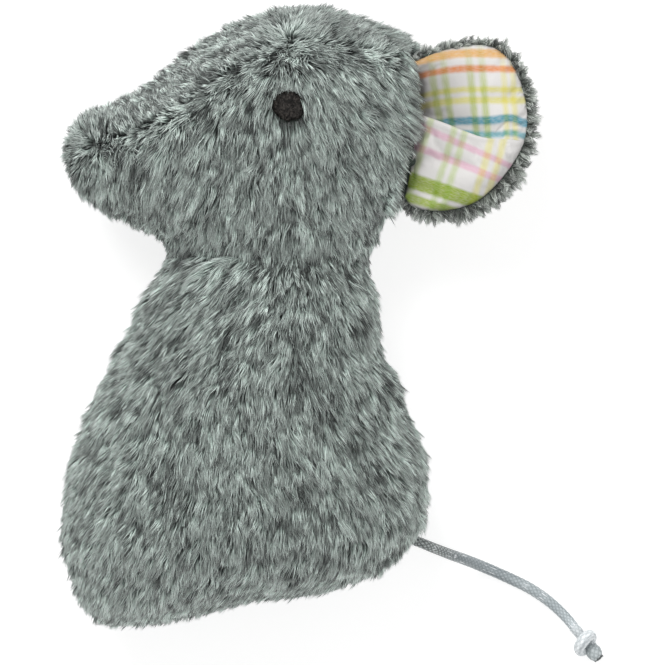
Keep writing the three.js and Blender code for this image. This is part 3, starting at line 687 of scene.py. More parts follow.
def shell(v, f, n, thick):
    """A closed thin shell on the inner side of an open patch."""
    used = np.unique(f)
    index = np.full(len(v), -1)
    index[used] = np.arange(len(used))
    f = index[f]
    v, n = v[used], n[used]
    edges = np.concatenate([f[:, [0, 1]], f[:, [1, 2]], f[:, [2, 0]]])
    keys = {}
    for a, b in edges.tolist():
        keys[(a, b)] = True
    rim = np.array([(a, b) for (a, b) in keys if (b, a) not in keys])
    m = len(v)
    v2 = np.vstack([v, v - n * thick])
    walls = np.concatenate([np.stack([rim[:, 1], rim[:, 0], rim[:, 0] + m], -1), np.stack([rim[:, 1], rim[:, 0] + m, rim[:, 1] + m], -1)])
    return v2, np.concatenate([f, f[:, ::-1] + m, walls])


centre = skin_v[skin_f].mean(1)
face_region = region_of(centre)
REGION_NAMES = ["body_left", "body_right", "head_left", "head_right", "gusset"]
REGION_NODE = ["body_panel_left", "body_panel_right", "head_panel_left", "head_panel_right", "head_gusset"]
for k, name in enumerate(REGION_NAMES):
    v, f = shell(skin_v, skin_f[face_region == k], skin_n, 0.8)
    o = make_object(name + "_backing", v, f)
    o.data.materials.append(BACKING_SHADED)
    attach(o, "torso")
    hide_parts(REGION_NODE[k])

# ------------------------------------------------------------- lie of the pile
# Head sides and body: (column, row, lean in degrees), 0 runs straight down and
# positive leans to the right on the way down.
HEAD_LIE = [
    (75, 165, -55), (86, 180, -20), (112, 165, -4), (112, 190, -10), (138, 150, -20), (138, 180, -6), (138, 205, -17),
    (150, 120, -48), (164, 150, -10), (164, 176, -13), (164, 202, -26), (190, 112, -32), (190, 140, -6), (190, 176, -15),
    (190, 202, -19), (190, 240, -34), (216, 112, -20), (216, 150, -10), (216, 180, -11), (216, 204, -13), (216, 228, -10),
    (242, 98, -22), (242, 124, -26), (242, 150, -8), (242, 176, -8), (242, 202, -3), (242, 232, -12), (268, 84, -16),
    (268, 124, -14), (268, 150, -10), (268, 176, -9), (268, 202, -2), (268, 230, -6), (294, 84, 2), (294, 134, 2),
    (294, 176, 12), (294, 202, 12), (294, 230, -8), (320, 72, 24), (320, 98, 26), (320, 124, 22), (320, 150, 12),
    (320, 176, 16), (320, 202, 11), (320, 235, 6), (346, 72, 45), (346, 98, 40), (346, 124, 32), (346, 150, 15),
    (346, 176, 16), (346, 202, 22), (346, 232, 26), (372, 80, 44), (372, 98, 34), (372, 124, 28), (372, 150, 19),
    (372, 176, 16), (372, 202, 22), (372, 230, 20), (398, 80, 48), (398, 98, 40), (398, 124, 36), (398, 150, 24),
    (398, 176, 12), (398, 202, 24), (412, 90, 55), (412, 120, 45),
]
BODY_LIE = [
    (175, 262, -46), (190, 258, -42), (216, 258, -38), (242, 262, -32), (268, 262, -15), (294, 268, 0), (320, 264, 6),
    (350, 258, 30), (190, 290, -36), (160, 310, -44), (216, 300, -30), (242, 300, -28), (268, 292, -34), (294, 292, -14),
    (320, 292, 4), (346, 292, 22), (370, 300, 28), (140, 340, -48), (164, 335, -40), (190, 332, -31), (242, 332, -29),
    (268, 338, -26), (294, 338, -18), (320, 338, 4), (346, 338, 10), (374, 345, 20), (112, 372, -50), (138, 370, -48),
    (164, 366, -40), (190, 362, -30), (216, 366, -26), (268, 362, -18), (294, 368, -6), (330, 368, 8), (374, 368, 26),
    (105, 410, -40), (138, 410, -28), (164, 410, -12), (190, 406, -18), (242, 400, 4), (294, 398, 8), (346, 400, 18),
    (390, 400, 32), (80, 440, -40), (112, 440, -38), (138, 440, -28), (180, 440, -6), (216, 436, -4), (242, 440, 9),
    (294, 440, 12), (346, 440, 18), (372, 436, 26), (405, 440, 38), (75, 480, -32), (112, 480, -34), (138, 480, -26),
    (190, 480, -12), (242, 480, 4), (294, 480, 14), (346, 480, 20), (390, 480, 28), (415, 480, 32), (75, 520, -30),
    (112, 520, -31), (138, 520, -21), (190, 520, -8), (242, 520, 0), (294, 520, 3), (346, 520, 12), (390, 520, 24),
    (415, 520, 20), (75, 556, -33), (112, 560, -28), (138, 560, -20), (190, 560, -8), (242, 556, -8), (294, 556, -7),
    (340, 556, -6), (380, 552, -4), (400, 545, -4), (90, 598, -22), (120, 600, -20), (160, 600, -14), (200, 595, -22),
    (240, 592, -46), (290, 586, -52), (330, 576, -36), (372, 564, -30), (140, 622, -18),
]
# Gusset: (column, row, bearing), 0 points to the crown and positive to the back.
GUSSET_LIE = [
    (66, 142, -85), (70, 130, -60), (85, 122, -36), (101, 112, -8), (118, 104, -30), (135, 100, -48), (150, 88, -52),
    (165, 76, -56), (182, 62, -62), (198, 52, -66), (216, 44, -70), (242, 32, -68), (242, 50, -74), (262, 22, -62),
    (270, 40, -72), (280, 14, -34), (294, 20, -10), (294, 8, -6), (308, 14, 18), (325, 22, 44), (320, 40, 76), (346, 24, 64),
    (350, 44, 74), (372, 28, 58), (372, 46, 66), (398, 40, 52), (398, 54, 60), (420, 55, 60), (430, 80, 100),
    (435, 120, 115), (430, 160, 130), (415, 195, 150), (395, 215, 165), (378, 245, 175),
]


def lie_table(rows, compass):
    a = np.asarray(rows, float)
    p = to_mm(a[:, :2])
    r = np.radians(a[:, 2])
    d = np.stack([np.sin(r), np.cos(r) if compass else -np.cos(r)], 1)
    return p, d


def lie_at(q, table, reach=5.2):
    p, d = table
    out = np.zeros_like(q)
    for i0 in range(0, len(q), 20000):
        s = q[i0:i0 + 20000]
        dd = ((s[:, None, :] - p[None]) ** 2).sum(2)
        w = np.exp(-dd / (2 * reach ** 2)) + 1e-5 / (dd + 4)
        out[i0:i0 + 20000] = w @ d
    return unit(out)


LIES = [lie_table(BODY_LIE, False), lie_table(HEAD_LIE, False), lie_table(GUSSET_LIE, True)]
NOSE_WHORL, CROWN_WHORL = to_mm([(97, 144.5)])[0], to_mm([(291, 43)])[0]


def whorl(q, d, centre, reach):
    r = q - centre
    dist = np.linalg.norm(r, axis=1)
    w = np.exp(-(dist / reach) ** 2)[:, None]
    return unit(d * (1 - w) + unit(r + 1e-6) * w * 1.2), w[:, 0]


def turn(d, angle):
    c, s = np.cos(angle)[:, None], np.sin(angle)[:, None]
    return np.column_stack([d[:, :1] * c - d[:, 1:2] * s, d[:, :1] * s + d[:, 1:2] * c])


def sample_surface(v, f, n, area, density, gen):
    """Random points on a triangle mesh: density is per square millimetre, one per face or a number."""
    want = area * density
    total = want.sum()
    count = int(round(total))
    cum = np.cumsum(want) / total
    # even steps with a jitter give a more even cover than plain random picks
    pick = (np.arange(count) + gen.uniform(0, 1, count)) / count
    face = np.minimum(np.searchsorted(cum, pick), len(f) - 1)
    a, b = gen.uniform(0, 1, (2, count))
    flip = a + b > 1
    a[flip], b[flip] = 1 - a[flip], 1 - b[flip]
    c = 1 - a - b
    w = np.stack([c, a, b], 1)[..., None]
    return (v[f[face]] * w).sum(1), unit((n[f[face]] * w).sum(1)), face


def nearest(points, seeds):
    t = KDTree(len(seeds))
    for i, s in enumerate(seeds.tolist()):
        t.insert(s, i)
    t.balance()
    return np.fromiter((t.find(p)[1] for p in points.tolist()), int, len(points))


def strand_mesh(points, radii, tone, gen):
    """Closed tapered strands. points is (n, k + 1, 3), radii (n, k), tone (n,) from 0 to 1."""
    n, k1, _ = points.shape
    k = k1 - 1
    tan = np.empty((n, k, 3))
    tan[:, 0] = points[:, 1] - points[:, 0]
    for i in range(1, k):
        tan[:, i] = points[:, i + 1] - points[:, i - 1]
    tan = unit(tan)
    ref = unit(gen.normal(size=(n, 3)))
    a = unit(np.cross(tan[:, 0], ref))
    per = 3 * k + 1
    verts = np.empty((n, per, 3))
    uv = np.empty((n, per, 2))
    th = np.arange(3) * 2 * np.pi / 3
    for i in range(k):
        a = unit(a - tan[:, i] * (a * tan[:, i]).sum(1, keepdims=True))
        b = np.cross(tan[:, i], a)
        for j in range(3):
            verts[:, 3 * i + j] = points[:, i] + radii[:, i, None] * (math.cos(th[j]) * a + math.sin(th[j]) * b)
            uv[:, 3 * i + j, 1] = 0.02 + 0.96 * i / k
    verts[:, -1] = points[:, -1]
    uv[:, -1, 1] = 0.98
    uv[:, :, 0] = np.clip(tone, 0.01, 0.99)[:, None]
    tris = [(0, 2, 1)]
    for i in range(k - 1):
        for j in range(3):
            jn = (j + 1) % 3
            tris += [(3 * i + j, 3 * i + jn, 3 * i + 3 + jn), (3 * i + j, 3 * i + 3 + jn, 3 * i + 3 + j)]
    for j in range(3):
        tris.append((3 * (k - 1) + j, 3 * (k - 1) + (j + 1) % 3, 3 * k))
    tris = np.array(tris)
    faces = (np.arange(n)[:, None, None] * per + tris[None]).reshape(-1, 3)
    return verts.reshape(-1, 3), faces, uv.reshape(-1, 2)


# ------------------------------------------------------ pile of head and body
den = np.where(centre[:, 2] > Z_SEAM - 6, 9.75, 6.75)
hot = to_mm([(p[0], p[1]) for p in GUSSET_SEAM])
near_seam = np.minimum(seg_distance(centre[:, :2], hot), np.minimum(np.linalg.norm(centre[:, :2] - NOSE_WHORL, axis=1), np.linalg.norm(centre[:, :2] - CROWN_WHORL, axis=1)))
den = den * (1 + 0.45 * np.exp(-(near_seam / 1.3) ** 2))
near_whorl = np.minimum(np.linalg.norm(centre[:, :2] - NOSE_WHORL, axis=1), np.linalg.norm(centre[:, :2] - CROWN_WHORL, axis=1))
den = den * (1 + 0.9 * np.exp(-(near_whorl / 2.2) ** 2))
root, nrm, face = sample_surface(skin_v, skin_f, skin_n, skin_area, den, rng)
print("strands", len(root), "area", skin_area.sum())
reg = region_of(root)
q = root[:, :2]
lie = np.zeros_like(q)
for table, who in ((LIES[0], reg <= 1), (LIES[1], (reg == 2) | (reg == 3)), (LIES[2], reg == 4)):
    lie[who] = lie_at(q[who], table)
lie, w_nose = whorl(q, lie, NOSE_WHORL, 26 * K)
lie, w_crown = whorl(q, lie, CROWN_WHORL, 30 * K)

# the parting along the gusset seam, darker and tousled
front_seam = to_mm([(p[0], p[1] + 7) for p in GUSSET_SEAM[2:12]])
part = np.exp(-(seg_distance(q, front_seam) / 3.0) ** 2)
part *= smoothstep((430 * K + 0 - (q[:, 0] - X(0))) / 3.0)
neck_d = np.abs(root[:, 1] - np.interp(root[:, 0], neck_mm[:, 0], neck_mm[:, 1]))
neck = np.exp(-(neck_d / 2.2) ** 2)

# clumps: each strand leans to the tip of its clump's first strand
n_all = len(root)
is_seed = np.zeros(n_all, bool)
is_seed[rng.permutation(n_all)[: n_all // 8]] = True
seeds = np.flatnonzero(is_seed)
own = seeds[nearest(root, root[seeds])]
# locks: a few strands of one tone, as the light and dark streaks of the pile
lock = rng.permutation(n_all)[: n_all // 6]
lock_of = lock[nearest(root, root[lock])]

# tufts: wider groups that stand away from each other, most on the flanks
tuft = rng.permutation(n_all)[: n_all // 55]
tuft_of = tuft[nearest(root, root[tuft])]
front = 1 - smoothstep((q[:, 0] - X(335)) / (60 * K))
flank = smoothstep((0.80 - np.abs(nrm[:, 2])) / 0.5)

swing = 0.10 * waves(root, 8.0, 11) + 0.08 * waves(root, 3.5, 12) + rng.normal(0, 0.10, n_all)[tuft_of] * (1 + flank)
clump_swing = rng.normal(0, 0.13, n_all)[own] + rng.normal(0, 0.10, n_all)[lock_of]
strip = (reg == 4) * smoothstep((X(275) - q[:, 0]) / (40 * K)) * smoothstep((q[:, 0] - X(98)) / (14 * K))
swing = swing + strip * (rng.normal(0, 0.45, n_all)[own] + rng.normal(0, 0.20, n_all))
swing = swing + clump_swing + rng.normal(0, 0.09, n_all) * (1 + 0.8 * (reg == 4)) + part * (rng.normal(0, 1.0, n_all)[own] * 0.42 + rng.normal(0, 0.30, n_all))
tousle = np.random.default_rng(91)
swing = swing + np.maximum(0.55 * w_nose, w_crown) * (tousle.normal(0, 0.30, n_all)[own] + tousle.normal(0, 0.12, n_all))
combed = np.column_stack([lie, np.zeros(n_all)])
lie = turn(lie, swing)

# the light lock that sweeps out from the neck seam, and the pile laid along both ends of that seam
light_lock = catmull(to_mm([(246, 257), (239, 258), (228, 259.5), (217, 263), (208, 268.5), (200, 276), (194, 284)]), 6)
near_lock = np.flatnonzero(seg_distance(q, light_lock) < 1.6)
lock_way = unit(np.gradient(light_lock, axis=0))
pick_ = np.linalg.norm(q[near_lock][:, None, :] - light_lock[None], axis=2).argmin(1)
in_lock = np.zeros(n_all)
in_lock[near_lock] = np.exp(-(seg_distance(q[near_lock], light_lock) / 0.60) ** 2)
in_lock *= root[:, 2] > Z_SEAM
laid = np.exp(-(neck_d / 1.5) ** 2) * (reg <= 1)
for way, w_ in (((-0.96, -0.28), smoothstep((X(224) - q[:, 0]) / (22 * K))), ((0.93, -0.36), smoothstep((q[:, 0] - X(338)) / (18 * K)))):
    w_ = (0.85 * laid * w_)[:, None]
    lie = unit(lie * (1 - w_) + np.array([way]) * w_)
w_ = np.minimum(1.0, 1.3 * in_lock[near_lock])[:, None]
lie[near_lock] = unit(lie[near_lock] * (1 - w_) + lock_way[pick_] * w_)

d3 = np.column_stack([lie, np.zeros(n_all)])
dn = (d3 * nrm).sum(1, keepdims=True)
flat = d3 - dn * nrm * np.where(dn > 0, 0.55, 1.0)
flat = flat / np.maximum(np.linalg.norm(flat, axis=1, keepdims=True), 0.35)
erect = 0.47 + 0.06 * waves(root, 9.0, 13) + rng.normal(0, 0.08, n_all)[own] + rng.normal(0, 0.09, n_all) + 0.27 * part + 0.2 * w_nose + 0.10 * w_crown
erect += strip * (0.20 + np.abs(rng.normal(0, 0.22, n_all))[own])
erect += rng.normal(0, 0.06, n_all)[tuft_of] + flank * np.abs(rng.normal(0, 0.24, n_all))[tuft_of]
seam_gap = seg_distance(q, gus_mm)
fill_in = np.exp(-(seam_gap / 1.2) ** 2) * (part > 0.05)
whorl_gap = np.minimum(np.linalg.norm(q - NOSE_WHORL, axis=1), np.linalg.norm(q - CROWN_WHORL, axis=1))
fill_in = np.maximum(fill_in, np.where(q[:, 0] < X(190), 0.9, 1.5) * np.exp(-(whorl_gap / 1.5) ** 2)) * (np.abs(nrm[:, 2]) > 0.2)
erect += 0.75 * fill_in
erect = erect * (1 - 0.35 * in_lock)
erect = np.clip(erect, 0.22, 2.2)[:, None]
out_dir = unit(flat + nrm * erect)
length = 5.8 * (1 + 0.10 * waves(root, 8.0, 14)) * (1 + rng.normal(0, 0.14, n_all)[own]) * (1 + rng.normal(0, 0.10, n_all))
length *= 1 - 0.12 * part - 0.15 * w_nose - 0.18 * neck
rise_cap = (3.35 - flank * (1.30 + 0.08 * (reg == 4) * front)) * (1 + rng.normal(0, 0.09, n_all)) + flank * np.abs(rng.normal(0, 0.38, n_all))[tuft_of]
rise_cap += flank * np.minimum(np.random.default_rng(88).exponential(0.46, n_all), 1.6)[own]
rise = (out_dir * nrm).sum(1)
length = np.minimum(length, rise_cap / np.maximum(rise, 0.2))
length = np.clip(length * (1 + 0.25 * in_lock), 1.2, 6.9)[:, None]

tip = root + out_dir * length
tang = unit(out_dir - nrm * (out_dir * nrm).sum(1, keepdims=True) + 1e-9)
mid = root + (out_dir * 0.5 + nrm * 0.09 - tang * 0.05) * length
side_v = np.cross(nrm, tang)
mid += side_v * rng.normal(0, 0.12, (n_all, 1)) * (1.25 + 0.7 * strip[:, None])
mid += side_v * (tousle.normal(0, 0.17, n_all)[own] * (1 + 0.5 * (reg == 4)) * (1 - in_lock))[:, None]
pull = np.clip(rng.normal(0.34, 0.15, (n_all, 1)), 0, 0.95) * (1 - 0.45 * np.maximum(part, (1.35 - 1.1 * strip) * (reg == 4))[:, None])
near_own = np.linalg.norm(root - root[own], axis=1, keepdims=True) < 1.6
pull = pull * near_own
tip = tip * (1 - pull) + (tip[own] + (root - root[own]) * 0.12) * pull
mid = mid * (1 - 0.45 * pull) + (mid[own] + (root - root[own]) * 0.45) * 0.45 * pull

catch = np.random.default_rng(92)
to_seam = root[:, 1] - np.interp(root[:, 0], neck_mm[:, 0], neck_mm[:, 1]) + 0.55 + catch.normal(0, 0.55, n_all)[own] + catch.normal(0, 0.25, n_all)
chance = 0.35 + 0.45 * smoothstep((X(262) - q[:, 0]) / (30 * K)) + 0.22 * smoothstep((q[:, 0] - X(322)) / (20 * K))
drop = root[:, 1] - tip[:, 1]
caught = (reg >= 2) & (catch.uniform(0, 1, n_all)[own] < chance) & (drop > to_seam) & (drop > 0.2) & (to_seam > -0.2)
cut = np.where(caught, np.clip(to_seam / np.maximum(drop, 0.2), 0.30, 1.0), 1.0)[:, None]
tip = root + (tip - root) * cut
mid = root + (mid - root) * cut
root_in = root - nrm * 0.15

# the pile lies flat where the toy rests
for p in (mid, tip):
    p[:, 2] = np.maximum(p[:, 2], 0.25)

# streaks: a fine tone that runs on along the pile from strand to strand
fine = np.random.default_rng(93).normal(0, 1, n_all)
ahead, behind = nearest(root + combed * 0.5, root), nearest(root - combed * 0.5, root)
fore, aft, streak = np.arange(n_all), np.arange(n_all), fine.copy()
for step_ in range(4):
    fore, aft = ahead[fore], behind[aft]
    streak += fine[fore] + fine[aft]
streak /= streak.std()
tone = (0.475 + rng.normal(0, 0.165, n_all)[own] + rng.normal(0, 0.20, n_all)[lock_of] + rng.normal(0, 0.045, n_all) + 0.19 * streak
        + 0.05 * waves(root, 12.0, 15))
# painted shade: darker near the neck seam, in its crease
tone += -0.05 * part - 0.19 * neck + 0.02 * w_nose + 0.02 * w_crown
# painted shade: the gusset is darker, most at the front, where the key light falls on it
tone += np.where(reg == 4, -0.055 - 0.10 * front, 0.0) - 0.05 * part * front
# painted light: the body's left flank and its lower left are lighter
tone += np.where(reg <= 1, 0.05, 0.0) * flank * smoothstep(-nrm[:, 0] / 0.5) + 0.035 * (reg == 0) * (1 - smoothstep((q[:, 0] - X(150)) / (60 * K)))
tone += 0.05 * (reg == 0) * (1 - smoothstep((q[:, 0] - X(120)) / (80 * K))) * smoothstep((Y(380) - q[:, 1]) / 10)
tone += 0.05 * np.exp(-(np.minimum(np.linalg.norm(q - NOSE_WHORL, axis=1), np.linalg.norm(q - CROWN_WHORL, axis=1)) / 1.6) ** 2)
tone = np.where(reg == 4, 0.42 + (0.62 + 0.50 * strip) * (tone - 0.42) - 0.045 * strip, tone)
tone += np.where(reg <= 1, -0.03, 0.0) - 0.085 * ((reg == 2) | (reg == 3)) * (1 - smoothstep((q[:, 0] - X(130)) / (55 * K)))
tone = tone * (1 - 0.7 * in_lock) + 0.74 * 0.7 * in_lock
# more painted shade right in the neck seam's crease
tone -= 0.05 * np.exp(-(neck_d / 0.8) ** 2) * (reg <= 1) * (1 - in_lock)

# where the head's fur ends over the sewn edge of the ear
OVERHANG = [(409, 30), (414.5, 42), (417, 54), (418.5, 64), (421, 78), (422, 97), (422.5, 110), (418, 120), (412.5, 130), (408.5, 141), (405.5, 160), (401.5, 178), (398, 195), (395, 212)]
hang = to_mm(OVERHANG) - EAR_O
HANG_U, HANG_W = hang @ EAR_U, hang @ EAR_W

# room for eyes, ears and tail
keep = np.ones(n_all, bool)
EYE = np.array([X(287.8), Y(106.6)])
# outline of the eye: bearing in degrees and radius
EYE_SHAPE = [(0, 15.9), (45, 16.5), (90, 15.1), (135, 16.2), (180, 15.7), (225, 14.1), (270, 15.2), (315, 16.5), (360, 15.9)]


def eye_radius(x, y):
    """Radius of the eye's outline on the bearing of a point, in millimetres."""
    a = np.asarray(EYE_SHAPE, float)
    t = np.degrees(np.arctan2(y, x)) % 360
    k = np.minimum((t // 45).astype(int), 7)
    return (a[k, 1] + (a[k + 1, 1] - a[k, 1]) * smoothstep((t - a[k, 0]) / 45)) * K


# a strand that would cross the eye ends at its edge and stands up a little
eye_gen = np.random.default_rng(31)
eye_room = 0.02 - np.abs(eye_gen.normal(0, 0.20, n_all))
by_eye = np.flatnonzero(np.linalg.norm(root[:, :2] - EYE, axis=1) < 13.0)
share = np.ones(n_all)
for s_ in np.linspace(1.0, 0.0, 41):
    p = root[by_eye] * (1 - s_) ** 2 + (2 * mid[by_eye] - 0.5 * (root[by_eye] + tip[by_eye])) * 2 * s_ * (1 - s_) + tip[by_eye] * s_ ** 2
    x_, y_ = (p[:, :2] - EYE).T
    crossed = (np.hypot(x_, y_) < eye_radius(x_, y_) + eye_room[by_eye]) & (root[by_eye, 2] > 0)
    share[by_eye[crossed]] = max(0.0, s_ - 0.02)
cut_back = share < 1
full = np.linalg.norm(tip - root, axis=1)
keep &= ~(cut_back & (share * full < 0.85))
lifted = nrm * (1.1 * (1 - share) * cut_back)[:, None]
tip = root + (tip - root) * share[:, None] + lifted
mid = root + (mid - root) * share[:, None] + lifted * 0.55
EXIT = np.array([X(416), Y(541), Z_SEAM])
away = unit(np.array([X(423) - X(416), Y(543.6) - Y(541), 0.0]))
for p in (root, mid, tip):
    r = p - EXIT
    s = r @ away
    keep &= ~((np.linalg.norm(r - s[:, None] * away, axis=1) < 1.5) & (s > -4))
for side in (1, -1):
    er = to_ear(root, side)
    under = (er[:, 0] > -3.2) & (np.abs(er[:, 1]) < EAR_LEN / 2 + 2.5) & (er[:, 2] < -2.0) & (root[:, 2] * side > (Z_SEAM - 3) * side)
    for p in (mid, tip):
        e = to_ear(p, side)
        clash = (e[:, 0] > -1.0) & (np.abs(e[:, 1]) < EAR_LEN / 2 + 1.5) & (e[:, 2] > -3.1) & (e[:, 2] < 4.0)
        keep &= ~(under & clash)
    e = to_ear(tip, side)
    keep &= ~((e[:, 0] > np.interp(-e[:, 1], -HANG_W, HANG_U) + 0.2) & (np.abs(e[:, 1]) < EAR_LEN / 2 + 1) & (e[:, 2] > -3.2) & (er[:, 0] < 1) & (er[:, 2] > -3.3) & (root[:, 2] * side > Z_SEAM * side))
    # nothing from the side grows through the ear
    e = to_ear(tip, side)
    keep &= ~((e[:, 0] > 3.4) & (np.abs(e[:, 1]) < EAR_LEN / 2) & (e[:, 2] > -3.0) & (e[:, 2] < 4.0) & (er[:, 0] > -8) & (er[:, 0] < 12))


def fur_pieces(base, mask, body="torso", limit=19000, radius=0.121, blend=None, material=None):
    """Pile of one panel, in pieces of at most limit strands, from top to bottom."""
    idx = np.flatnonzero(mask)
    if not len(idx):
        return []
    idx = idx[np.argsort(-root[idx, 1], kind="stable")]
    parts = np.array_split(idx, max(1, math.ceil(len(idx) / limit)))
    made = []
    for i, part_idx in enumerate(parts):
        pts = np.stack([root_in[part_idx], mid[part_idx], tip[part_idx]], 1)
        rad = np.stack([np.full(len(part_idx), radius * 0.85), np.full(len(part_idx), radius)], 1)
        rad *= rng.uniform(0.8, 1.25, (len(part_idx), 1))
        v, f, uv = strand_mesh(pts, rad, tone[part_idx], rng)
        v[:, 2] = np.maximum(v[:, 2], 0.05)
        name = base + "_pile" if len(parts) == 1 else f"{base}_pile_{i + 1}"
        o = make_object(name, v, f, uv)
        o.data.materials.append(material or FUR)
        if blend:
            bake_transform(o)
        else:
            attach(o, body)
        made.append(o)
    return made


fringe = {}
for side, name in ((1, "left"), (-1, "right")):
    e = to_ear(root, side)
    fringe[name] = keep & (e[:, 0] > -5.5) & (e[:, 0] < 1.2) & (np.abs(e[:, 1]) < EAR_LEN / 2 + 2.5) & (e[:, 2] > -3.0) & (root[:, 2] * side > Z_SEAM * side)
rest = keep & ~fringe["left"] & ~fringe["right"]
for k, name in enumerate(REGION_NAMES):
    fur_pieces(name, rest & (reg == k))
for side, name in ((1, "left"), (-1, "right")):
    z = EAR_Z if side > 0 else 2 * Z_SEAM - EAR_Z
    s = EAR_O - 2.6 * EAR_U
    t = EAR_O + 2.4 * EAR_U
    fur_pieces(f"ear_{name}_fringe", fringe[name], blend=("torso", "ear_" + name, (s[0] * MM, s[1] * MM, z * MM), (t[0] * MM, t[1] * MM, z * MM)))


# locks of the head that hang over the sewn edge of an ear
for side, name in ((1, "left"), (-1, "right")):
    gen = np.random.default_rng(700 + side)
    e = to_ear(root, side)
    m = (e[:, 0] > -5.6) & (e[:, 0] < -2.9) & (e[:, 1] > -EAR_LEN / 2 - 2) & (e[:, 1] < EAR_LEN / 2 + 5.5) & (e[:, 2] > -3.2) & (root[:, 2] * side > Z_SEAM * side)
    src = np.repeat(np.flatnonzero(m), 2)
    n = len(src)
    e = e[src] + np.column_stack([gen.normal(0, 0.25, (n, 2)), np.zeros(n)])
    group = gen.permutation(n)[: max(4, n // 8)]
    mine = group[nearest(e, e[group])]
    reach = np.interp(-e[:, 1], -HANG_W, HANG_U) + gen.normal(0, 0.60, n)[mine] + gen.normal(0, 0.30, n) - 0.25
    reach = np.maximum(reach, e[:, 0] + 1.8)
    slide = -(0.95 + gen.normal(0, 0.18, n)[mine] + gen.normal(0, 0.08, n)) * np.minimum(reach - e[:, 0], 5.2)
    t3 = np.column_stack([reach, e[:, 1] + slide, 2.3 + 0.9 * gen.uniform(0, 1, n)])
    m3 = 0.5 * (e + t3)
    m3[:, 2] = np.maximum(e[:, 2], t3[:, 2]) + 0.35
    for a, share in ((m3, 0.3), (t3, 0.55)):
        a += (a[mine] + (e - e[mine]) * 0.3 - a) * share
    pts = np.stack([e - [0, 0, 0.2], m3, t3], 1)
    tone_ = 0.50 + gen.normal(0, 0.27, n)[mine] + gen.normal(0, 0.20, n)
    v, f, uv = strand_mesh(pts, np.stack([np.full(n, 0.10), np.full(n, 0.105)], 1) * gen.uniform(0.8, 1.2, (n, 1)), tone_, gen)
    v = from_ear(v, side)
    v[:, 2] = np.maximum(v[:, 2], 0.05)
    o = make_object(f"ear_{name}_overhang", v, f if side > 0 else f[:, ::-1], uv)
    o.data.materials.append(FUR)
    z = EAR_Z if side > 0 else 2 * Z_SEAM - EAR_Z
    a, b = EAR_O - 2.6 * EAR_U, EAR_O + 2.4 * EAR_U
    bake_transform(o)


# ------------------------------------------------------------------------ ears
EAR_OUTLINE = [
    (413, 47), (424, 42), (443, 38), (465, 37), (485, 38), (501, 43), (515, 53), (527, 68), (533, 85), (537, 106),
    (539, 125), (535.5, 148), (529.5, 169), (520.5, 187), (510, 200.5), (497, 210.5), (477, 219.5), (450, 224), (427, 222), (404, 211),
]
LINING_TOP = [(408, 64), (420, 59.5), (444, 50.5), (474, 45.5), (490, 47), (504, 55), (515, 69), (522, 88), (526, 106), (527, 124), (524, 142)]
LINING_LOW = [(404.5, 198), (412, 206.5), (428, 210.5), (447, 210.5), (463, 207), (477.5, 200.9), (495, 186), (509, 169), (518, 155), (524, 142)]
PLEAT = [(416, 116.5), (423, 119), (444, 126.5), (460, 133), (476, 138.5), (486, 140), (495, 140), (505, 139.5), (515, 140.5), (524, 142)]


def xy_to_uw(p):
    q = p - EAR_O
    return np.stack([q @ EAR_U, q @ EAR_W], 1)


ear_ring = xy_to_uw(to_mm(EAR_OUTLINE))
ear_ring[0, 0] = ear_ring[-1, 0] = -0.6
ear_ring = np.vstack([catmull(ear_ring, 10), np.linspace(ear_ring[-1], ear_ring[0], 30)[1:-1]])
lining_ring = np.vstack([catmull(xy_to_uw(to_mm(LINING_TOP)), 10), catmull(xy_to_uw(to_mm(LINING_LOW)), 10)[::-1]])
EAR_C = np.array([11.5, 0.3])


def radius_at(ring, phi):
    """Distance from the ear's middle to a closed outline, by bearing."""
    d = ring - EAR_C
    a = np.arctan2(d[:, 1], d[:, 0])
    r = np.linalg.norm(d, axis=1)
    o = np.argsort(a)
    a, r = a[o], r[o]
    return np.interp(phi, np.concatenate([a[-3:] - 2 * np.pi, a, a[:3] + 2 * np.pi]), np.concatenate([r[-3:], r, r[:3]]))


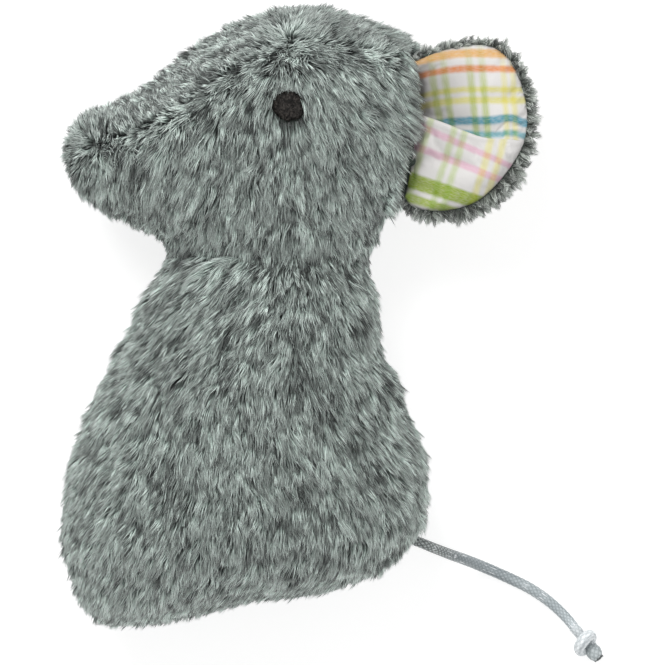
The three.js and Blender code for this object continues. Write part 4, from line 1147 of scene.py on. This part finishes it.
def ear_back_mesh(n_phi=150):
    """The plush back of an ear: a shallow closed dish with a rolled rim, in u, w, v."""
    phi = -np.pi + (np.arange(n_phi) + 0.5) / n_phi * 2 * np.pi
    big, small = radius_at(ear_ring, phi), radius_at(lining_ring, phi)
    cu = np.cos(phi)
    base = smoothstep((-cu - 0.55) / 0.3)                 # 1 along the sewn edge
    rim = np.maximum(big - 2.8, small + 0.25)
    rim = rim * (1 - base) + np.minimum(rim, big - 0.5) * base
    inner = np.minimum(small, rim - 0.3)
    # share of the way out, distance added, height: front middle to back middle
    prof = [(0.0, 0, -1.9), (0.35, 0, -1.9), (0.7, 0, -1.9), (1.0, -1.6, -1.7), (1.0, -0.9, -0.9), (1.0, -0.35, 0.15)]
    rows = [np.column_stack([inner * a + d * (a > 0), np.full(n_phi, h)]) for a, d, h in prof]
    lip = [(-0.30, 0.32), (-0.05, 0.25), (0.12, -0.05), (0.12, -0.50), (-0.10, -1.0), (-0.55, -1.45), (-1.3, -1.80), (-2.6, -2.10), (-4.5, -2.30)]
    rows += [np.column_stack([np.maximum(rim + d, inner * 0.5), np.full(n_phi, h)]) for d, h in lip]
    rows += [np.column_stack([rim * a, np.full(n_phi, h)]) for a, h in ((0.5, -2.45), (0.25, -2.5), (0.0, -2.5))]
    v = []
    for r in rows:
        v.append(np.column_stack([EAR_C[0] + r[:, 0] * np.cos(phi), EAR_C[1] + r[:, 0] * np.sin(phi), r[:, 1]]))
    v = np.concatenate(v[1:-1] + [np.array([[EAR_C[0], EAR_C[1], -1.9], [EAR_C[0], EAR_C[1], -2.5]])])
    v[:, 0] = np.maximum(v[:, 0], -0.9)
    k = len(rows) - 2
    i = np.arange(k - 1)[:, None] * n_phi
    j = np.arange(n_phi)[None, :]
    jn = (j + 1) % n_phi
    q = np.stack([i + j, i + n_phi + j, i + n_phi + jn, i + jn], -1).reshape(-1, 4)
    f = np.concatenate([q[:, [0, 1, 2]], q[:, [0, 2, 3]]])
    jj = np.arange(n_phi)
    j1 = (jj + 1) % n_phi
    f = np.concatenate([f, np.stack([np.full(n_phi, len(v) - 2), jj, j1], -1),
                        np.stack([np.full(n_phi, len(v) - 1), (k - 1) * n_phi + j1, (k - 1) * n_phi + jj], -1)])
    return v, f


def srgb(r, g, b):
    return tuple(((c / 255 + 0.055) / 1.055) ** 2.4 if c > 10 else c / 255 / 12.92 for c in (r, g, b))


def stripes(spans, lo, hi, edge=0.9):
    """Colour stops of stripes on white: spans are (middle, width, colour)."""
    white = (1.0, 1.0, 1.0)
    out = [(0.0, white)]
    for mid_, wide, colour in spans:
        a, b = mid_ - wide / 2, mid_ + wide / 2
        for at, c in ((a - edge / 2, white), (a + edge / 2, colour), (b - edge / 2, colour), (b + edge / 2, white)):
            out.append(((at - lo) / (hi - lo), c))
    return sorted(out, key=lambda x: x[0])


def tint(r, g, b):
    """A stripe's colour as a share of the white ground."""
    c, w = srgb(r, g, b), srgb(238, 235, 234)
    return tuple(min(1.0, x / y) for x, y in zip(c, w))


ORANGE, RED, YELLOW, TEAL, TEAL2 = tint(248, 184, 112), tint(238, 152, 96), tint(234, 226, 146), tint(88, 162, 186), tint(120, 182, 196)
PINK, GREEN, GREEN2, LIME, PALE = tint(236, 194, 212), tint(160, 182, 50), tint(170, 190, 84), tint(196, 208, 142), tint(243, 231, 168)
LIME_LOW = tint(208, 220, 172)
WEFT_UP = [(54, 9, ORANGE), (69.5, 6.5, RED), (90, 5.5, YELLOW), (100.5, 6.5, YELLOW), (121, 8, TEAL), (133.5, 6, TEAL2)]
WEFT_LOW = [(126, 7.5, PINK), (148, 8.5, PINK), (183.5, 16.5, GREEN), (201.5, 9, GREEN2)]
WARP_UP = [(429, 7, LIME), (441.5, 7, LIME), (467.5, 7, LIME), (480, 7, LIME), (501.5, 6, PALE), (511, 6, PALE)]
WARP_LOW = [(425, 6.5, LIME_LOW), (451, 6.5, LIME_LOW), (462.5, 6.5, LIME_LOW), (490.5, 7, PALE), (503.5, 7, PALE), (400, 6.5, LIME)]
FAB_LO, FAB_HI = 30.0, 230.0
WARP_LO, WARP_HI = 380.0, 560.0


def plaid_material():
    """Woven cotton: stripes of weft and warp that darken where they cross, on a ground darkened by painted shade."""
    m, nt, b = new_material("plaid_cotton", 0.82, 0.25, 0.12, 0.5)
    uv = node(nt, "ShaderNodeUVMap", uv_map="Fabric")
    sep = node(nt, "ShaderNodeSeparateXYZ")
    nt.links.new(uv.outputs[0], sep.inputs[0])
    low = math_node(nt, "GREATER_THAN", sep.outputs[0], 1.0)
    t = math_node(nt, "FRACT", sep.outputs[0])
    # threads are not perfectly straight
    nz = node(nt, "ShaderNodeTexNoise")
    nz.inputs["Scale"].default_value = 22.0
    nt.links.new(uv.outputs[0], nz.inputs["Vector"])
    wob = math_node(nt, "MULTIPLY", math_node(nt, "SUBTRACT", nz.outputs[0], 0.5), 0.008)
    t = math_node(nt, "ADD", t, wob)
    s = math_node(nt, "ADD", sep.outputs[1], wob)
    weft = mix_rgb(nt, "MIX", low, ramp(nt, stripes(WEFT_UP, FAB_LO, FAB_HI, 3.0), t), ramp(nt, stripes(WEFT_LOW, FAB_LO, FAB_HI, 3.0), t))
    warp = mix_rgb(nt, "MIX", low, ramp(nt, stripes(WARP_UP, WARP_LO, WARP_HI, 3.6), s), ramp(nt, stripes(WARP_LOW, WARP_LO, WARP_HI, 3.6), s))
    # undyed threads run through the dyed ones
    for k, scale in ((0, (34.0, 170.0, 1.0)), (1, (200.0, 24.0, 1.0))):
        mp = node(nt, "ShaderNodeMapping")
        mp.inputs["Scale"].default_value = (scale[1], scale[0], 1.0)
        nt.links.new(uv.outputs[0], mp.inputs["Vector"])
        th_ = node(nt, "ShaderNodeTexNoise")
        th_.inputs["Scale"].default_value = 1.0
        th_.inputs["Detail"].default_value = 1
        nt.links.new(mp.outputs[0], th_.inputs["Vector"])
        share = math_node(nt, "MULTIPLY_ADD", th_.outputs[0], 0.75, -0.22 if k == 0 else -0.16, clamp=True)
        if k == 0:
            weft = mix_rgb(nt, "MIX", share, weft, (1.0, 1.0, 1.0))
        else:
            # the warp is faint towards the top of the piece
            faint = ramp(nt, [(0.10, (0.55, 0.55, 0.55)), (0.30, (0.0, 0.0, 0.0))], t)
            fb_ = node(nt, "ShaderNodeRGBToBW")
            nt.links.new(faint, fb_.inputs[0])
            share = math_node(nt, "ADD", share, math_node(nt, "MULTIPLY", fb_.outputs[0], math_node(nt, "SUBTRACT", 1.0, low)), clamp=True)
            warp = mix_rgb(nt, "MIX", share, warp, (1.0, 1.0, 1.0))
    col = mix_rgb(nt, "MULTIPLY", 1.0, weft, warp)
    # weave: over and under, four threads to the millimetre
    pt = math_node(nt, "SINE", math_node(nt, "MULTIPLY", t, (FAB_HI - FAB_LO) * 2 * math.pi / 1.15))
    ps = math_node(nt, "SINE", math_node(nt, "MULTIPLY", s, (WARP_HI - WARP_LO) * 2 * math.pi / 1.15))
    weave = math_node(nt, "MULTIPLY", pt, ps)
    fine = node(nt, "ShaderNodeTexNoise")
    fine.inputs["Scale"].default_value = 260.0
    fine.inputs["Detail"].default_value = 2
    nt.links.new(uv.outputs[0], fine.inputs["Vector"])
    grain = math_node(nt, "ADD", math_node(nt, "MULTIPLY", weave, 0.035), math_node(nt, "MULTIPLY", math_node(nt, "SUBTRACT", fine.outputs[0], 0.5), 0.22))
    ground = node(nt, "ShaderNodeVectorMath", operation="SCALE")
    ground.inputs[0].default_value = srgb(206, 204, 202)
    # painted shade from a second map darkens the ground
    painted_shade_map = node(nt, "ShaderNodeUVMap", uv_map="Depth")
    wsep = node(nt, "ShaderNodeSeparateXYZ")
    nt.links.new(painted_shade_map.outputs[0], wsep.inputs[0])
    nt.links.new(math_node(nt, "MULTIPLY", math_node(nt, "ADD", grain, 0.97), wsep.outputs[0]), ground.inputs["Scale"])
    nt.links.new(mix_rgb(nt, "MULTIPLY", 1.0, col, ground.outputs[0]), b.inputs["Base Color"])
    bm = node(nt, "ShaderNodeBump")
    bm.inputs["Strength"].default_value = 0.25
    bm.inputs["Distance"].default_value = 0.00008
    nt.links.new(weave, bm.inputs["Height"])
    nt.links.new(bm.outputs[0], b.inputs["Normal"])
    return m


PLAID = plaid_material()


def px_of(p):
    return p[:, 0] / K + CX, CY - p[:, 1] / K


def fabric_up(p):
    x, y = px_of(p)
    t = y - 0.0024 * np.maximum(0, 474 - x) ** 2
    low = smoothstep((y - 106) / 12)
    t += low * (3.0 * np.exp(-((x - 507) / 13) ** 2) * (1 - smoothstep((y - 123) / 6)) - 3.0 * smoothstep((x - 512) / 14) - 1.5 * smoothstep((x - 466) / 12) * smoothstep((y - 126) / 6) * (x < 503))
    k = 0.16 - 0.0014 * (x - 435)
    return (t - FAB_LO) / (FAB_HI - FAB_LO), (x - k * (y - 50) - WARP_LO) / (WARP_HI - WARP_LO)


def fabric_low(p):
    x, y = px_of(p)
    dx = x - 420
    t = (y - 0.7125 * dx) / (1 - 0.0021 * dx)
    return (t - FAB_LO) / (FAB_HI - FAB_LO) + 1.0, (x + 0.29 * (y - 140) - WARP_LO) / (WARP_HI - WARP_LO)


def lining_mesh(n_t=110, n_up=34, n_low=30, n_roll=6):
    """The padded lining of the left ear, in the row frame, v as third column: a pillow with one soft pleat."""
    def by_length(points):
        return resample(catmull(to_mm(points), 14), 1e-9 + np.linalg.norm(np.diff(catmull(to_mm(points), 14), axis=0), axis=1).sum() / n_t)[:n_t]
    top, low, pleat = by_length(LINING_TOP), by_length(LINING_LOW), by_length(PLEAT)
    n_t_ = min(len(top), len(low), len(pleat))
    top, low, pleat = top[:n_t_], low[:n_t_], pleat[:n_t_]
    px = pleat[:, 0] / K + CX
    strength = 1 - smoothstep((px - 466) / 40)
    ring = np.vstack([top, low[::-1]])

    def puff(q):
        d = seg_distance(q, np.vstack([ring, ring[:1]]))
        far = np.minimum(seg_distance(q, top), seg_distance(q, low))
        u = (q - EAR_O) @ EAR_U
        hollow = 4.3 * (1 - smoothstep((u + 0.5) / 13.0)) * (1 - np.exp(-(far / 2.6) ** 2))
        return np.maximum(2.5 * (1 - np.exp(-d / 2.0)) - hollow, -2.15)
    rows, region = [], []
    # lower half, from the rim to the pleat
    for i in range(n_low):
        s = i / (n_low - 1)
        q = low + (pleat - low) * s
        dp = np.linalg.norm(pleat - q, axis=1)
        q[:, 0] += 0.55 * math.sin(math.pi * s) * np.exp(-np.arange(n_t_) / 12.0)
        h = 0.55 + puff(q) + 1.7 * strength * np.exp(-dp / 4.2) * (1 - np.exp(-np.linalg.norm(q - low, axis=1) / 2.5))
        rows.append(np.column_stack([q, h]))
        region.append(0)
    edge = rows[-1].copy()
    roll = 0.78 * strength + 0.004
    for i in range(1, n_roll + 1):
        a = math.pi * i / n_roll
        q = edge.copy()
        q[:, 1] += roll * math.sin(a)
        q[:, 2] -= roll * (1 - math.cos(a))
        rows.append(q)
        region.append(0)
    # upper half, out from under the fold
    start = rows[-1].copy()
    for i in range(1, n_up):
        s = i / (n_up - 1)
        q = start[:, :2] + (top - start[:, :2]) * s
        dp = np.linalg.norm(q - pleat, axis=1)
        h = np.maximum(0.55 + puff(q) - (2.0 * strength) * np.exp(-dp / 4.2), -1.6)
        h = start[:, 2] * (1 - smoothstep(s / 0.10)) + h * smoothstep(s / 0.10)
        rows.append(np.column_stack([q, h]))
        region.append(1)
    v = np.concatenate(rows)
    flat3 = np.column_stack([v[:, :2], np.zeros(len(v))])
    fine = waves(flat3, 9.0, 33) * 0.16 + waves(flat3, 5.5, 31) * 0.09 + waves(flat3, 2.6, 32) * 0.03
    dd = seg_distance(v[:, :2], np.vstack([ring, ring[:1]]))
    # puckers along the sewn rim
    along = np.arctan2(v[:, 1] - v[:, 1].mean(), v[:, 0] - v[:, 0].mean())
    fine += 0.10 * np.sin(along * 31 + 2 * np.sin(along * 5)) * np.exp(-((dd - 1.3) / 1.1) ** 2)
    v[:, 2] += fine * smoothstep(dd / 1.0)
    m = len(rows)
    i = np.arange(m - 1)[:, None] * n_t_
    j = np.arange(n_t_ - 1)[None, :]
    quads = np.stack([i + j, i + j + 1, i + n_t_ + j + 1, i + n_t_ + j], -1)
    face_up = np.repeat(np.array([region[r + 1] for r in range(m - 1)]), n_t_ - 1)
    f = quads.reshape(-1, 4)
    return v, f, face_up, n_t_, m


def settle(v, f, sewn, cap):
    """The lining's cloth settled over its padding by a cloth simulation, at twenty times its size. Millimetres."""
    big = 0.02
    me = bpy.data.meshes.new("settle")
    me.from_pydata((v * big).tolist(), [], f.tolist())
    me.update()
    o = bpy.data.objects.new("settle", me)
    scn = bpy.context.scene
    scn.collection.objects.link(o)
    g = o.vertex_groups.new(name="sewn")
    for k in range(11):
        ids = np.flatnonzero(np.round(sewn * 10).astype(int) == k).tolist()
        if k and ids:
            g.add(ids, k / 10, "REPLACE")
    m = o.modifiers.new("cloth", "CLOTH")
    c = m.settings
    c.quality = 6
    c.mass = 0.12
    c.tension_stiffness = c.compression_stiffness = 14.0
    c.shear_stiffness = 5.0
    c.bending_stiffness = 0.4
    c.air_damping = 2.0
    c.vertex_group_mass = "sewn"
    c.pin_stiffness = 3.0
    c.use_pressure = True
    c.uniform_pressure_force = 1.6
    c.shrink_min = -0.027
    c.effector_weights.gravity = 0.0
    m.collision_settings.use_collision = False
    m.collision_settings.use_self_collision = False
    m.point_cache.frame_start, m.point_cache.frame_end = 1, 20
    for t in range(1, 21):
        scn.frame_set(t)
    ev = o.evaluated_get(bpy.context.evaluated_depsgraph_get())
    done = ev.to_mesh()
    co = np.empty(len(v) * 3)
    done.vertices.foreach_get("co", co)
    ev.to_mesh_clear()
    scn.frame_set(1)
    bpy.data.objects.remove(o)
    bpy.data.meshes.remove(me)
    move = co.reshape(-1, 3) / big - v
    size = np.linalg.norm(move, axis=1, keepdims=True)
    print("settled", float(size.mean()), float(size.max()))
    return v + move * cap * np.tanh(size / cap) / np.maximum(size, 1e-9)


def rim_pile(gen, v, f, name_seed):
    """Short curly tufts round the back of an ear and on its rim, in u, w, v."""
    n_, ar = normals_of(v, f)
    c = v[f].mean(1)
    fn = unit(np.cross(v[f[:, 1]] - v[f[:, 0]], v[f[:, 2]] - v[f[:, 0]]))
    d = c[:, :2] - EAR_C
    rr = np.linalg.norm(d, axis=1)
    phi = np.arctan2(d[:, 1], d[:, 0])
    on_rim = rr > radius_at(lining_ring, phi) - 0.45
    back = fn[:, 2] < -0.2
    dens = np.where(on_rim & ~back, 17.5, np.where(back, 7.0, 0.0)) * (c[:, 0] > -0.4)
    p, n3, face_ = sample_surface(v, f, n_, ar, dens, gen)
    n = len(p)
    d = unit(p[:, :2] - EAR_C)
    phi = np.arctan2(d[:, 1], d[:, 0])
    is_back = n3[:, 2] < -0.35
    lean = np.radians(-38) * smoothstep((phi - 0.9) / 0.7) + np.radians(-14) * smoothstep((0.9 - np.abs(phi)) / 0.5) + np.radians(18) * smoothstep((-phi - 0.9) / 0.6)
    seeds_ = gen.permutation(n)[: max(8, n // 22)]
    mine = seeds_[nearest(p, p[seeds_])]
    off = np.linalg.norm(p - p[mine], axis=1)
    r1 = gen.normal(0, 0.33, n)[mine] + gen.normal(0, 0.16, n)
    flow = turn(d, lean + r1)
    f3 = np.column_stack([flow, np.zeros(n)])
    lift = np.where(is_back, 0.45, 0.16) + gen.normal(0, 0.12, n)
    out = unit(f3 - n3 * (f3 * n3).sum(1, keepdims=True) * np.where((f3 * n3).sum(1, keepdims=True) > 0, 0.1, 1.0) + n3 * lift[:, None] + np.array([0, 0, 1.0]) * np.where(is_back, 0, gen.normal(0.10, 0.22, n)[mine])[:, None])
    ln = np.where(is_back, 3.3, 3.15) * (1 + gen.normal(0, 0.17, n)[mine]) * (1 + gen.normal(0, 0.08, n)) * (1 - 0.30 * np.clip(off / 0.8, 0, 1.2))
    ln *= np.where(is_back, 1.0, 1 - 0.30 * smoothstep((phi - 0.8) / 0.5) * smoothstep((2.9 - phi) / 0.3))
    ln *= np.where(p[:, 0] < 2.5, 0.75, 1.0)
    ln = ln[:, None]
    side = unit(np.cross(out, n3) + 1e-6)
    amp = gen.normal(0, 0.24, n)[mine][:, None] + gen.normal(0, 0.13, (n, 1))
    a1 = p + out * ln * 0.36 + side * amp
    a2 = p + out * ln * 0.70 - side * amp * 0.7 + n3 * 0.10
    a3 = p + out * ln + side * amp * 0.6
    for a, pull_ in ((a1, 0.08), (a2, 0.34), (a3, 0.62)):
        a += (a[mine] + (p - p[mine]) * 0.12 - a) * pull_
    # painted shade: strands are darker towards each tuft's edge and near the ear's sewn edge
    tone_ = np.minimum(0.58 + gen.normal(0, 0.17, n)[mine] + gen.normal(0, 0.20, n) - 0.28 * np.clip(off / 0.8, 0, 1.2), 0.86) - 0.22 * (p[:, 0] < 3.0)
    pts = np.stack([p - n3 * 0.12, a1, a2, a3], 1)
    rad = np.stack([np.full(n, 0.085), np.full(n, 0.082), np.full(n, 0.055)], 1) * gen.uniform(0.8, 1.2, (n, 1))
    return strand_mesh(pts, rad, tone_, gen)


def place(q, side):
    return from_ear(q, side)


BACK_V, BACK_F = ear_back_mesh()
vol = np.einsum("ij,ij->i", BACK_V[BACK_F[:, 0]], np.cross(BACK_V[BACK_F[:, 1]], BACK_V[BACK_F[:, 2]])).sum()
if vol < 0:
    BACK_F = BACK_F[:, ::-1]
FUR_EAR = fur_material("ear_pile", (0.020, 0.026, 0.016), (0.212, 0.240, 0.212), (0.82, 0.86, 0.82), 0.12, 1.88, 0.58, 0.2, 0.44)
LV, LF, L_UP, L_N, L_M = lining_mesh()
l_px, l_py = px_of(LV)
LV0 = LV.copy()
# two patches, above and below the fold, held where they are sewn and along the fold
row_, col_ = np.divmod(np.arange(len(LV)), L_N)
last_col = L_N - 13
free = ((row_ < 30) | (row_ > 35)) & (col_ <= last_col)
gap_row = np.where(row_ < 30, np.minimum(row_, 29 - row_), np.minimum(row_ - 36, L_M - 1 - row_))
held = np.clip(1 - np.minimum(gap_row, np.minimum(col_, last_col - col_)) / 3.0, 0, 1)
index = np.cumsum(free) - 1
LV[free] = settle(LV[free], index[LF[free[LF].all(1)]], held[free], 0.9)
# painted shade for the lining: the cloth is darker towards the sewn edge and next to the fold, less towards the open
# top
fold = to_mm(PLEAT)
fold_gap = seg_distance(LV0[:, :2], fold)
fold_soft = 1 - smoothstep((l_px - 470) / 36)
open_top = 1 - 0.65 * smoothstep((84 - l_py) / 26)
painted_shade_up = 1 - (0.46 * (1 - smoothstep((l_px - 403) / 94)) + 0.10 * (1 - smoothstep((l_px - 442) / 56))) * open_top - 0.12 * fold_soft * np.exp(-fold_gap / 3.5)
painted_shade_low = 1 - 0.42 * (1 - smoothstep((l_px - 404) / 26)) - 0.10 * (1 - smoothstep((l_px - 430) / 50))
for side, name in ((1, "left"), (-1, "right")):
    gen = np.random.default_rng(900 + side)
    f = BACK_F if side > 0 else BACK_F[:, ::-1]
    o = make_object(f"ear_{name}_plush_back", place(BACK_V, side), f)
    o.data.materials.append(BACKING_SHADED)
    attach(o, "ear_" + name)
    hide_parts(f"ear_{name}_back")
    v, f, uv = rim_pile(gen, BACK_V, BACK_F, side)
    v = place(v, side)
    v[:, 2] = np.maximum(v[:, 2], 0.05)
    if side < 0:
        f = f[:, ::-1]
    n_parts = max(1, math.ceil(len(f) / 190000))
    per_strand = 16
    strands_ = len(f) // per_strand
    for i, idx in enumerate(np.array_split(np.arange(strands_), n_parts)):
        v0, v1 = idx[0] * 10, (idx[-1] + 1) * 10
        o = make_object(f"ear_{name}_pile_{i + 1}", v[v0:v1], f[idx[0] * per_strand:(idx[-1] + 1) * per_strand] - v0, uv[v0:v1])
        o.data.materials.append(FUR_EAR)
        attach(o, "ear_" + name)
    # lining: puffed front, flat back, one closed form
    n = L_N * L_M
    top_v = np.column_stack([LV[:, :2], EAR_Z + LV[:, 2]])
    mid_xy = EAR_O + EAR_C[0] * EAR_U + EAR_C[1] * EAR_W
    back_v = np.column_stack([mid_xy + (LV[:, :2] - mid_xy) * 0.93, np.minimum(EAR_Z + LV[:, 2] - 0.12, np.full(n, EAR_Z - 1.7))])
    vv = np.vstack([top_v, back_v])
    if side < 0:
        vv[:, 2] = 2 * Z_SEAM - vv[:, 2]
    t1, s1 = fabric_up(LV0)
    t0, s0 = fabric_low(LV0)
    roll_rows = (np.arange(L_M) >= 30) & (np.arange(L_M) < 36)
    front = LF
    rear = LF[:, ::-1] + n
    rim = [r * L_N for r in range(L_M)]
    last = [r * L_N + L_N - 1 for r in range(L_M)]
    first_row = list(range(L_N))
    last_row = [(L_M - 1) * L_N + c for c in range(L_N)]
    walls = []
    for a in (first_row, last, last_row[::-1], rim[::-1]):
        for p_, q_ in zip(a[:-1], a[1:]):
            walls.append((q_, p_, p_ + n, q_ + n))
    faces = np.concatenate([front, rear, np.array(walls)])
    up_flag = np.concatenate([L_UP, L_UP, np.full(len(walls), 1)])
    vi = faces % n
    tu = np.where(up_flag[:, None] == 1, t1[vi], t0[vi])
    su = np.where(up_flag[:, None] == 1, s1[vi], s0[vi])
    if side < 0:
        faces = faces[:, ::-1]
        tu, su = tu[:, ::-1], su[:, ::-1]
    o = make_object(f"ear_{name}_padded_lining", vv, faces, loops_uv=np.stack([tu, su], -1).reshape(-1, 2), uv_name="Fabric")
    # painted shade: the cloth is darker towards the sewn edge and next to the fold
    painted_shade = np.where(up_flag[:, None] == 1, painted_shade_up[vi], painted_shade_low[vi])
    if side < 0:
        painted_shade = painted_shade[:, ::-1]
    layer = o.data.uv_layers.new(name="Depth")
    layer.data.foreach_set("uv", np.stack([painted_shade, painted_shade], -1).reshape(-1, 2).astype(np.float32).ravel())
    o.data.materials.append(PLAID)
    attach(o, "ear_" + name)
    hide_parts(f"ear_{name}_lining", f"ear_{name}_wadding")

# ------------------------------------------------------------------------ eyes
def floss_material(name, dark, light, rough):
    """Embroidery floss: short dark stitches with dull flecks of light."""
    m, nt, b = new_material(name, rough, 0.22, 0.0)
    tc = node(nt, "ShaderNodeTexCoord")
    fine = node(nt, "ShaderNodeTexNoise")
    fine.inputs["Scale"].default_value = 1500.0
    fine.inputs["Detail"].default_value = 2
    nt.links.new(tc.outputs["Object"], fine.inputs["Vector"])
    cell = node(nt, "ShaderNodeTexVoronoi", feature="F1")
    cell.inputs["Scale"].default_value = 1500.0
    nt.links.new(tc.outputs["Object"], cell.inputs["Vector"])
    mixed = math_node(nt, "MULTIPLY", fine.outputs[0], math_node(nt, "SUBTRACT", 1.35, cell.outputs[0]))
    nt.links.new(ramp(nt, [(0.30, dark), (0.62, light)], mixed), b.inputs["Base Color"])
    bm = node(nt, "ShaderNodeBump")
    bm.inputs["Strength"].default_value = 0.35
    bm.inputs["Distance"].default_value = 0.0002
    nt.links.new(mixed, bm.inputs["Height"])
    nt.links.new(bm.outputs[0], b.inputs["Normal"])
    return m


EYE_MAT = floss_material("eye_thread", (0.0062, 0.0056, 0.0050), (0.042, 0.037, 0.033), 0.6)
l_, r_, h_ = section(float(EYE[1]), 0.0)
eye_up = float(form_height(np.array([EYE[0]]), np.array([EYE[1]]), l_, r_, h_)[0])
EYE_TOP = Z_SEAM + eye_up - 3.4 + 1.25
EYE_R = 3.70


def stitched_eye(gen):
    """Satin stitches laid side by side over a low mound, in x, y and height."""
    vs, fs, base = [], [], 0
    ang = math.radians(78)
    ux, uy = np.array([math.cos(ang), math.sin(ang)]), np.array([-math.sin(ang), math.cos(ang)])
    n_st = 19
    for i in range(n_st):
        c = (i + 0.5) / n_st * 2 - 1
        off = c * (EYE_R - 0.18)
        half = EYE_R * (1 - abs(off / EYE_R) ** 2.7) ** (1 / 2.7) * gen.uniform(0.95, 1.03)
        s_ = np.linspace(-1, 1, 15)
        along_ = s_ * half
        r2 = (np.abs(off) ** 2 + along_ ** 2) / EYE_R ** 2
        z = 0.55 * (1 - r2) - 0.45 * np.abs(s_) ** 9 + gen.normal(0, 0.015)
        line_ = np.column_stack([ux[0] * along_ + uy[0] * (off + 0.04 * np.sin(s_ * 3 + i)), ux[1] * along_ + uy[1] * (off + 0.04 * np.sin(s_ * 3 + i)), z])
        rad = 0.235 * (1 - 0.45 * np.abs(s_) ** 6)
        v, f, _, _ = sweep(line_, rad, 8)
        vs.append(v)
        fs.append(f + base)
        base += len(v)
    # short stitches over them, at odd angles
    for i in range(230):
        r0, a0 = EYE_R * 0.93 * math.sqrt(gen.uniform(0, 1)), gen.uniform(0, 2 * math.pi)
        turn_ = ang + gen.normal(0, 0.85)
        w_ = np.array([math.cos(turn_), math.sin(turn_)])
        s_ = np.linspace(-1, 1, 7)
        c0 = np.array([math.cos(a0), math.sin(a0)]) * r0
        xy = c0[None, :] + s_[:, None] * w_[None, :] * gen.uniform(0.32, 0.62)
        r2 = (xy ** 2).sum(1) / EYE_R ** 2
        z = 0.62 * (1 - r2) + 0.10 + gen.uniform(0, 0.16) - 0.30 * s_ ** 4
        v, f, _, _ = sweep(np.column_stack([xy, z]), 0.16 * (1 - 0.4 * s_ ** 4), 6)
        vs.append(v)
        fs.append(f + base)
        base += len(v)
    # the mound under the stitches
    th = np.arange(48) / 48 * 2 * np.pi
    k_ = (np.abs(np.cos(th)) ** 2.7 + np.abs(np.sin(th)) ** 2.7) ** (-1 / 2.7) * (EYE_R - 0.12)
    rings = []
    for a, z in ((0.35, 0.40), (0.7, 0.18), (0.93, -0.18), (0.97, -0.7), (0.90, -1.15)):
        rings.append(np.column_stack([k_ * a * np.cos(th + ang), k_ * a * np.sin(th + ang), np.full(48, z)]))
    v = np.vstack(rings + [[[0, 0, 0.47]], [[0, 0, -1.15]]])
    f = []
    for r in range(4):
        for j in range(48):
            a, b = r * 48 + j, r * 48 + (j + 1) % 48
            f += [(a, a + 48, b + 48), (a, b + 48, b)]
    for j in range(48):
        f.append((240, j, (j + 1) % 48))
        f.append((241, 4 * 48 + (j + 1) % 48, 4 * 48 + j))
    vs.append(v)
    fs.append(np.array(f) + base)
    v = np.concatenate(vs)
    # pull the outline from a rounded square to the eye's own shape
    x_, y_ = v[:, 0], v[:, 1]
    th = np.arctan2(y_, x_) - ang
    square = (np.abs(np.cos(th)) ** 2.7 + np.abs(np.sin(th)) ** 2.7) ** (-1 / 2.7) * EYE_R
    v[:, :2] *= (eye_radius(x_, y_) / square)[:, None]
    return v, np.concatenate(fs)


for side, name in ((1, "left"), (-1, "right")):
    v, f = stitched_eye(np.random.default_rng(55 + side))
    v = v + np.array([EYE[0], EYE[1], EYE_TOP])
    if side < 0:
        low_surface = max(0.0, Z_SEAM - eye_up)
        v[:, 2] = (low_surface + 3.4 - 1.25) - (v[:, 2] - EYE_TOP)
        f = f[:, ::-1]
    o = make_object(f"eye_{name}_stitches", v, f)
    o.data.materials.append(EYE_MAT)
    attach(o, "torso")
    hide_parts(f"eye_{name}")

# ------------------------------------------------------- carried-over solids
for n in NODES.values():
    m = None
    if "thread" in n.name or n.name == "tail_bar_tack":
        m = SEAM_THREAD
    elif "filling" in n.name or "wadding" in n.name:
        m = FILLING
    elif "tab" in n.name or "panel" in n.name or "gusset" in n.name or "back" in n.name:
        m = BACKING_SHADED
    if m:
        n.data.materials.clear()
        n.data.materials.append(m)

# ---------------------------------------------------------- floor and light
fv = np.array([[-20000, -20000, 0], [20000, -20000, 0], [20000, 20000, 0], [-20000, 20000, 0]], float)
floor = make_object("floor", fv, np.array([[0, 1, 2, 3]]), smooth=False)
fm, fnt, fb = new_material("floor", 0.9, 0.1)
fb.inputs["Base Color"].default_value = (0.36, 0.36, 0.36, 1)
fb.inputs["Emission Color"].default_value = (1.0, 1.0, 1.0, 1)
fb.inputs["Emission Strength"].default_value = 0.75
floor.data.materials.append(fm)
floor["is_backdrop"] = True

world = bpy.data.worlds.new("studio")
world.use_nodes = True
world.node_tree.nodes["Background"].inputs[0].default_value = (1.0, 1.0, 1.0, 1)
world.node_tree.nodes["Background"].inputs[1].default_value = 0.70
bpy.context.scene.world = world


def area_light(name, where, size, power, target=(0.0, 0.0, 0.02), colour=(1, 1, 1)):
    d = bpy.data.lights.new(name, "AREA")
    d.size = size
    d.energy = power
    d.color = colour
    o = bpy.data.objects.new(name, d)
    bpy.context.scene.collection.objects.link(o)
    o.location = where
    o.rotation_mode = "QUATERNION"
    o.rotation_quaternion = (Vector(target) - Vector(where)).to_track_quat("-Z", "Y")
    return o


area_light("key", (-0.36, 0.72, 0.95), 0.6, 11.5)
area_light("fill", (0.7, -0.35, 0.8), 0.9, 2.0)

scene = bpy.context.scene
scene.view_settings.view_transform = "Standard"
scene.view_settings.look = "None"
scene.view_settings.exposure = 0.0

bpy.context.view_layer.update()
lo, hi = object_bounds()
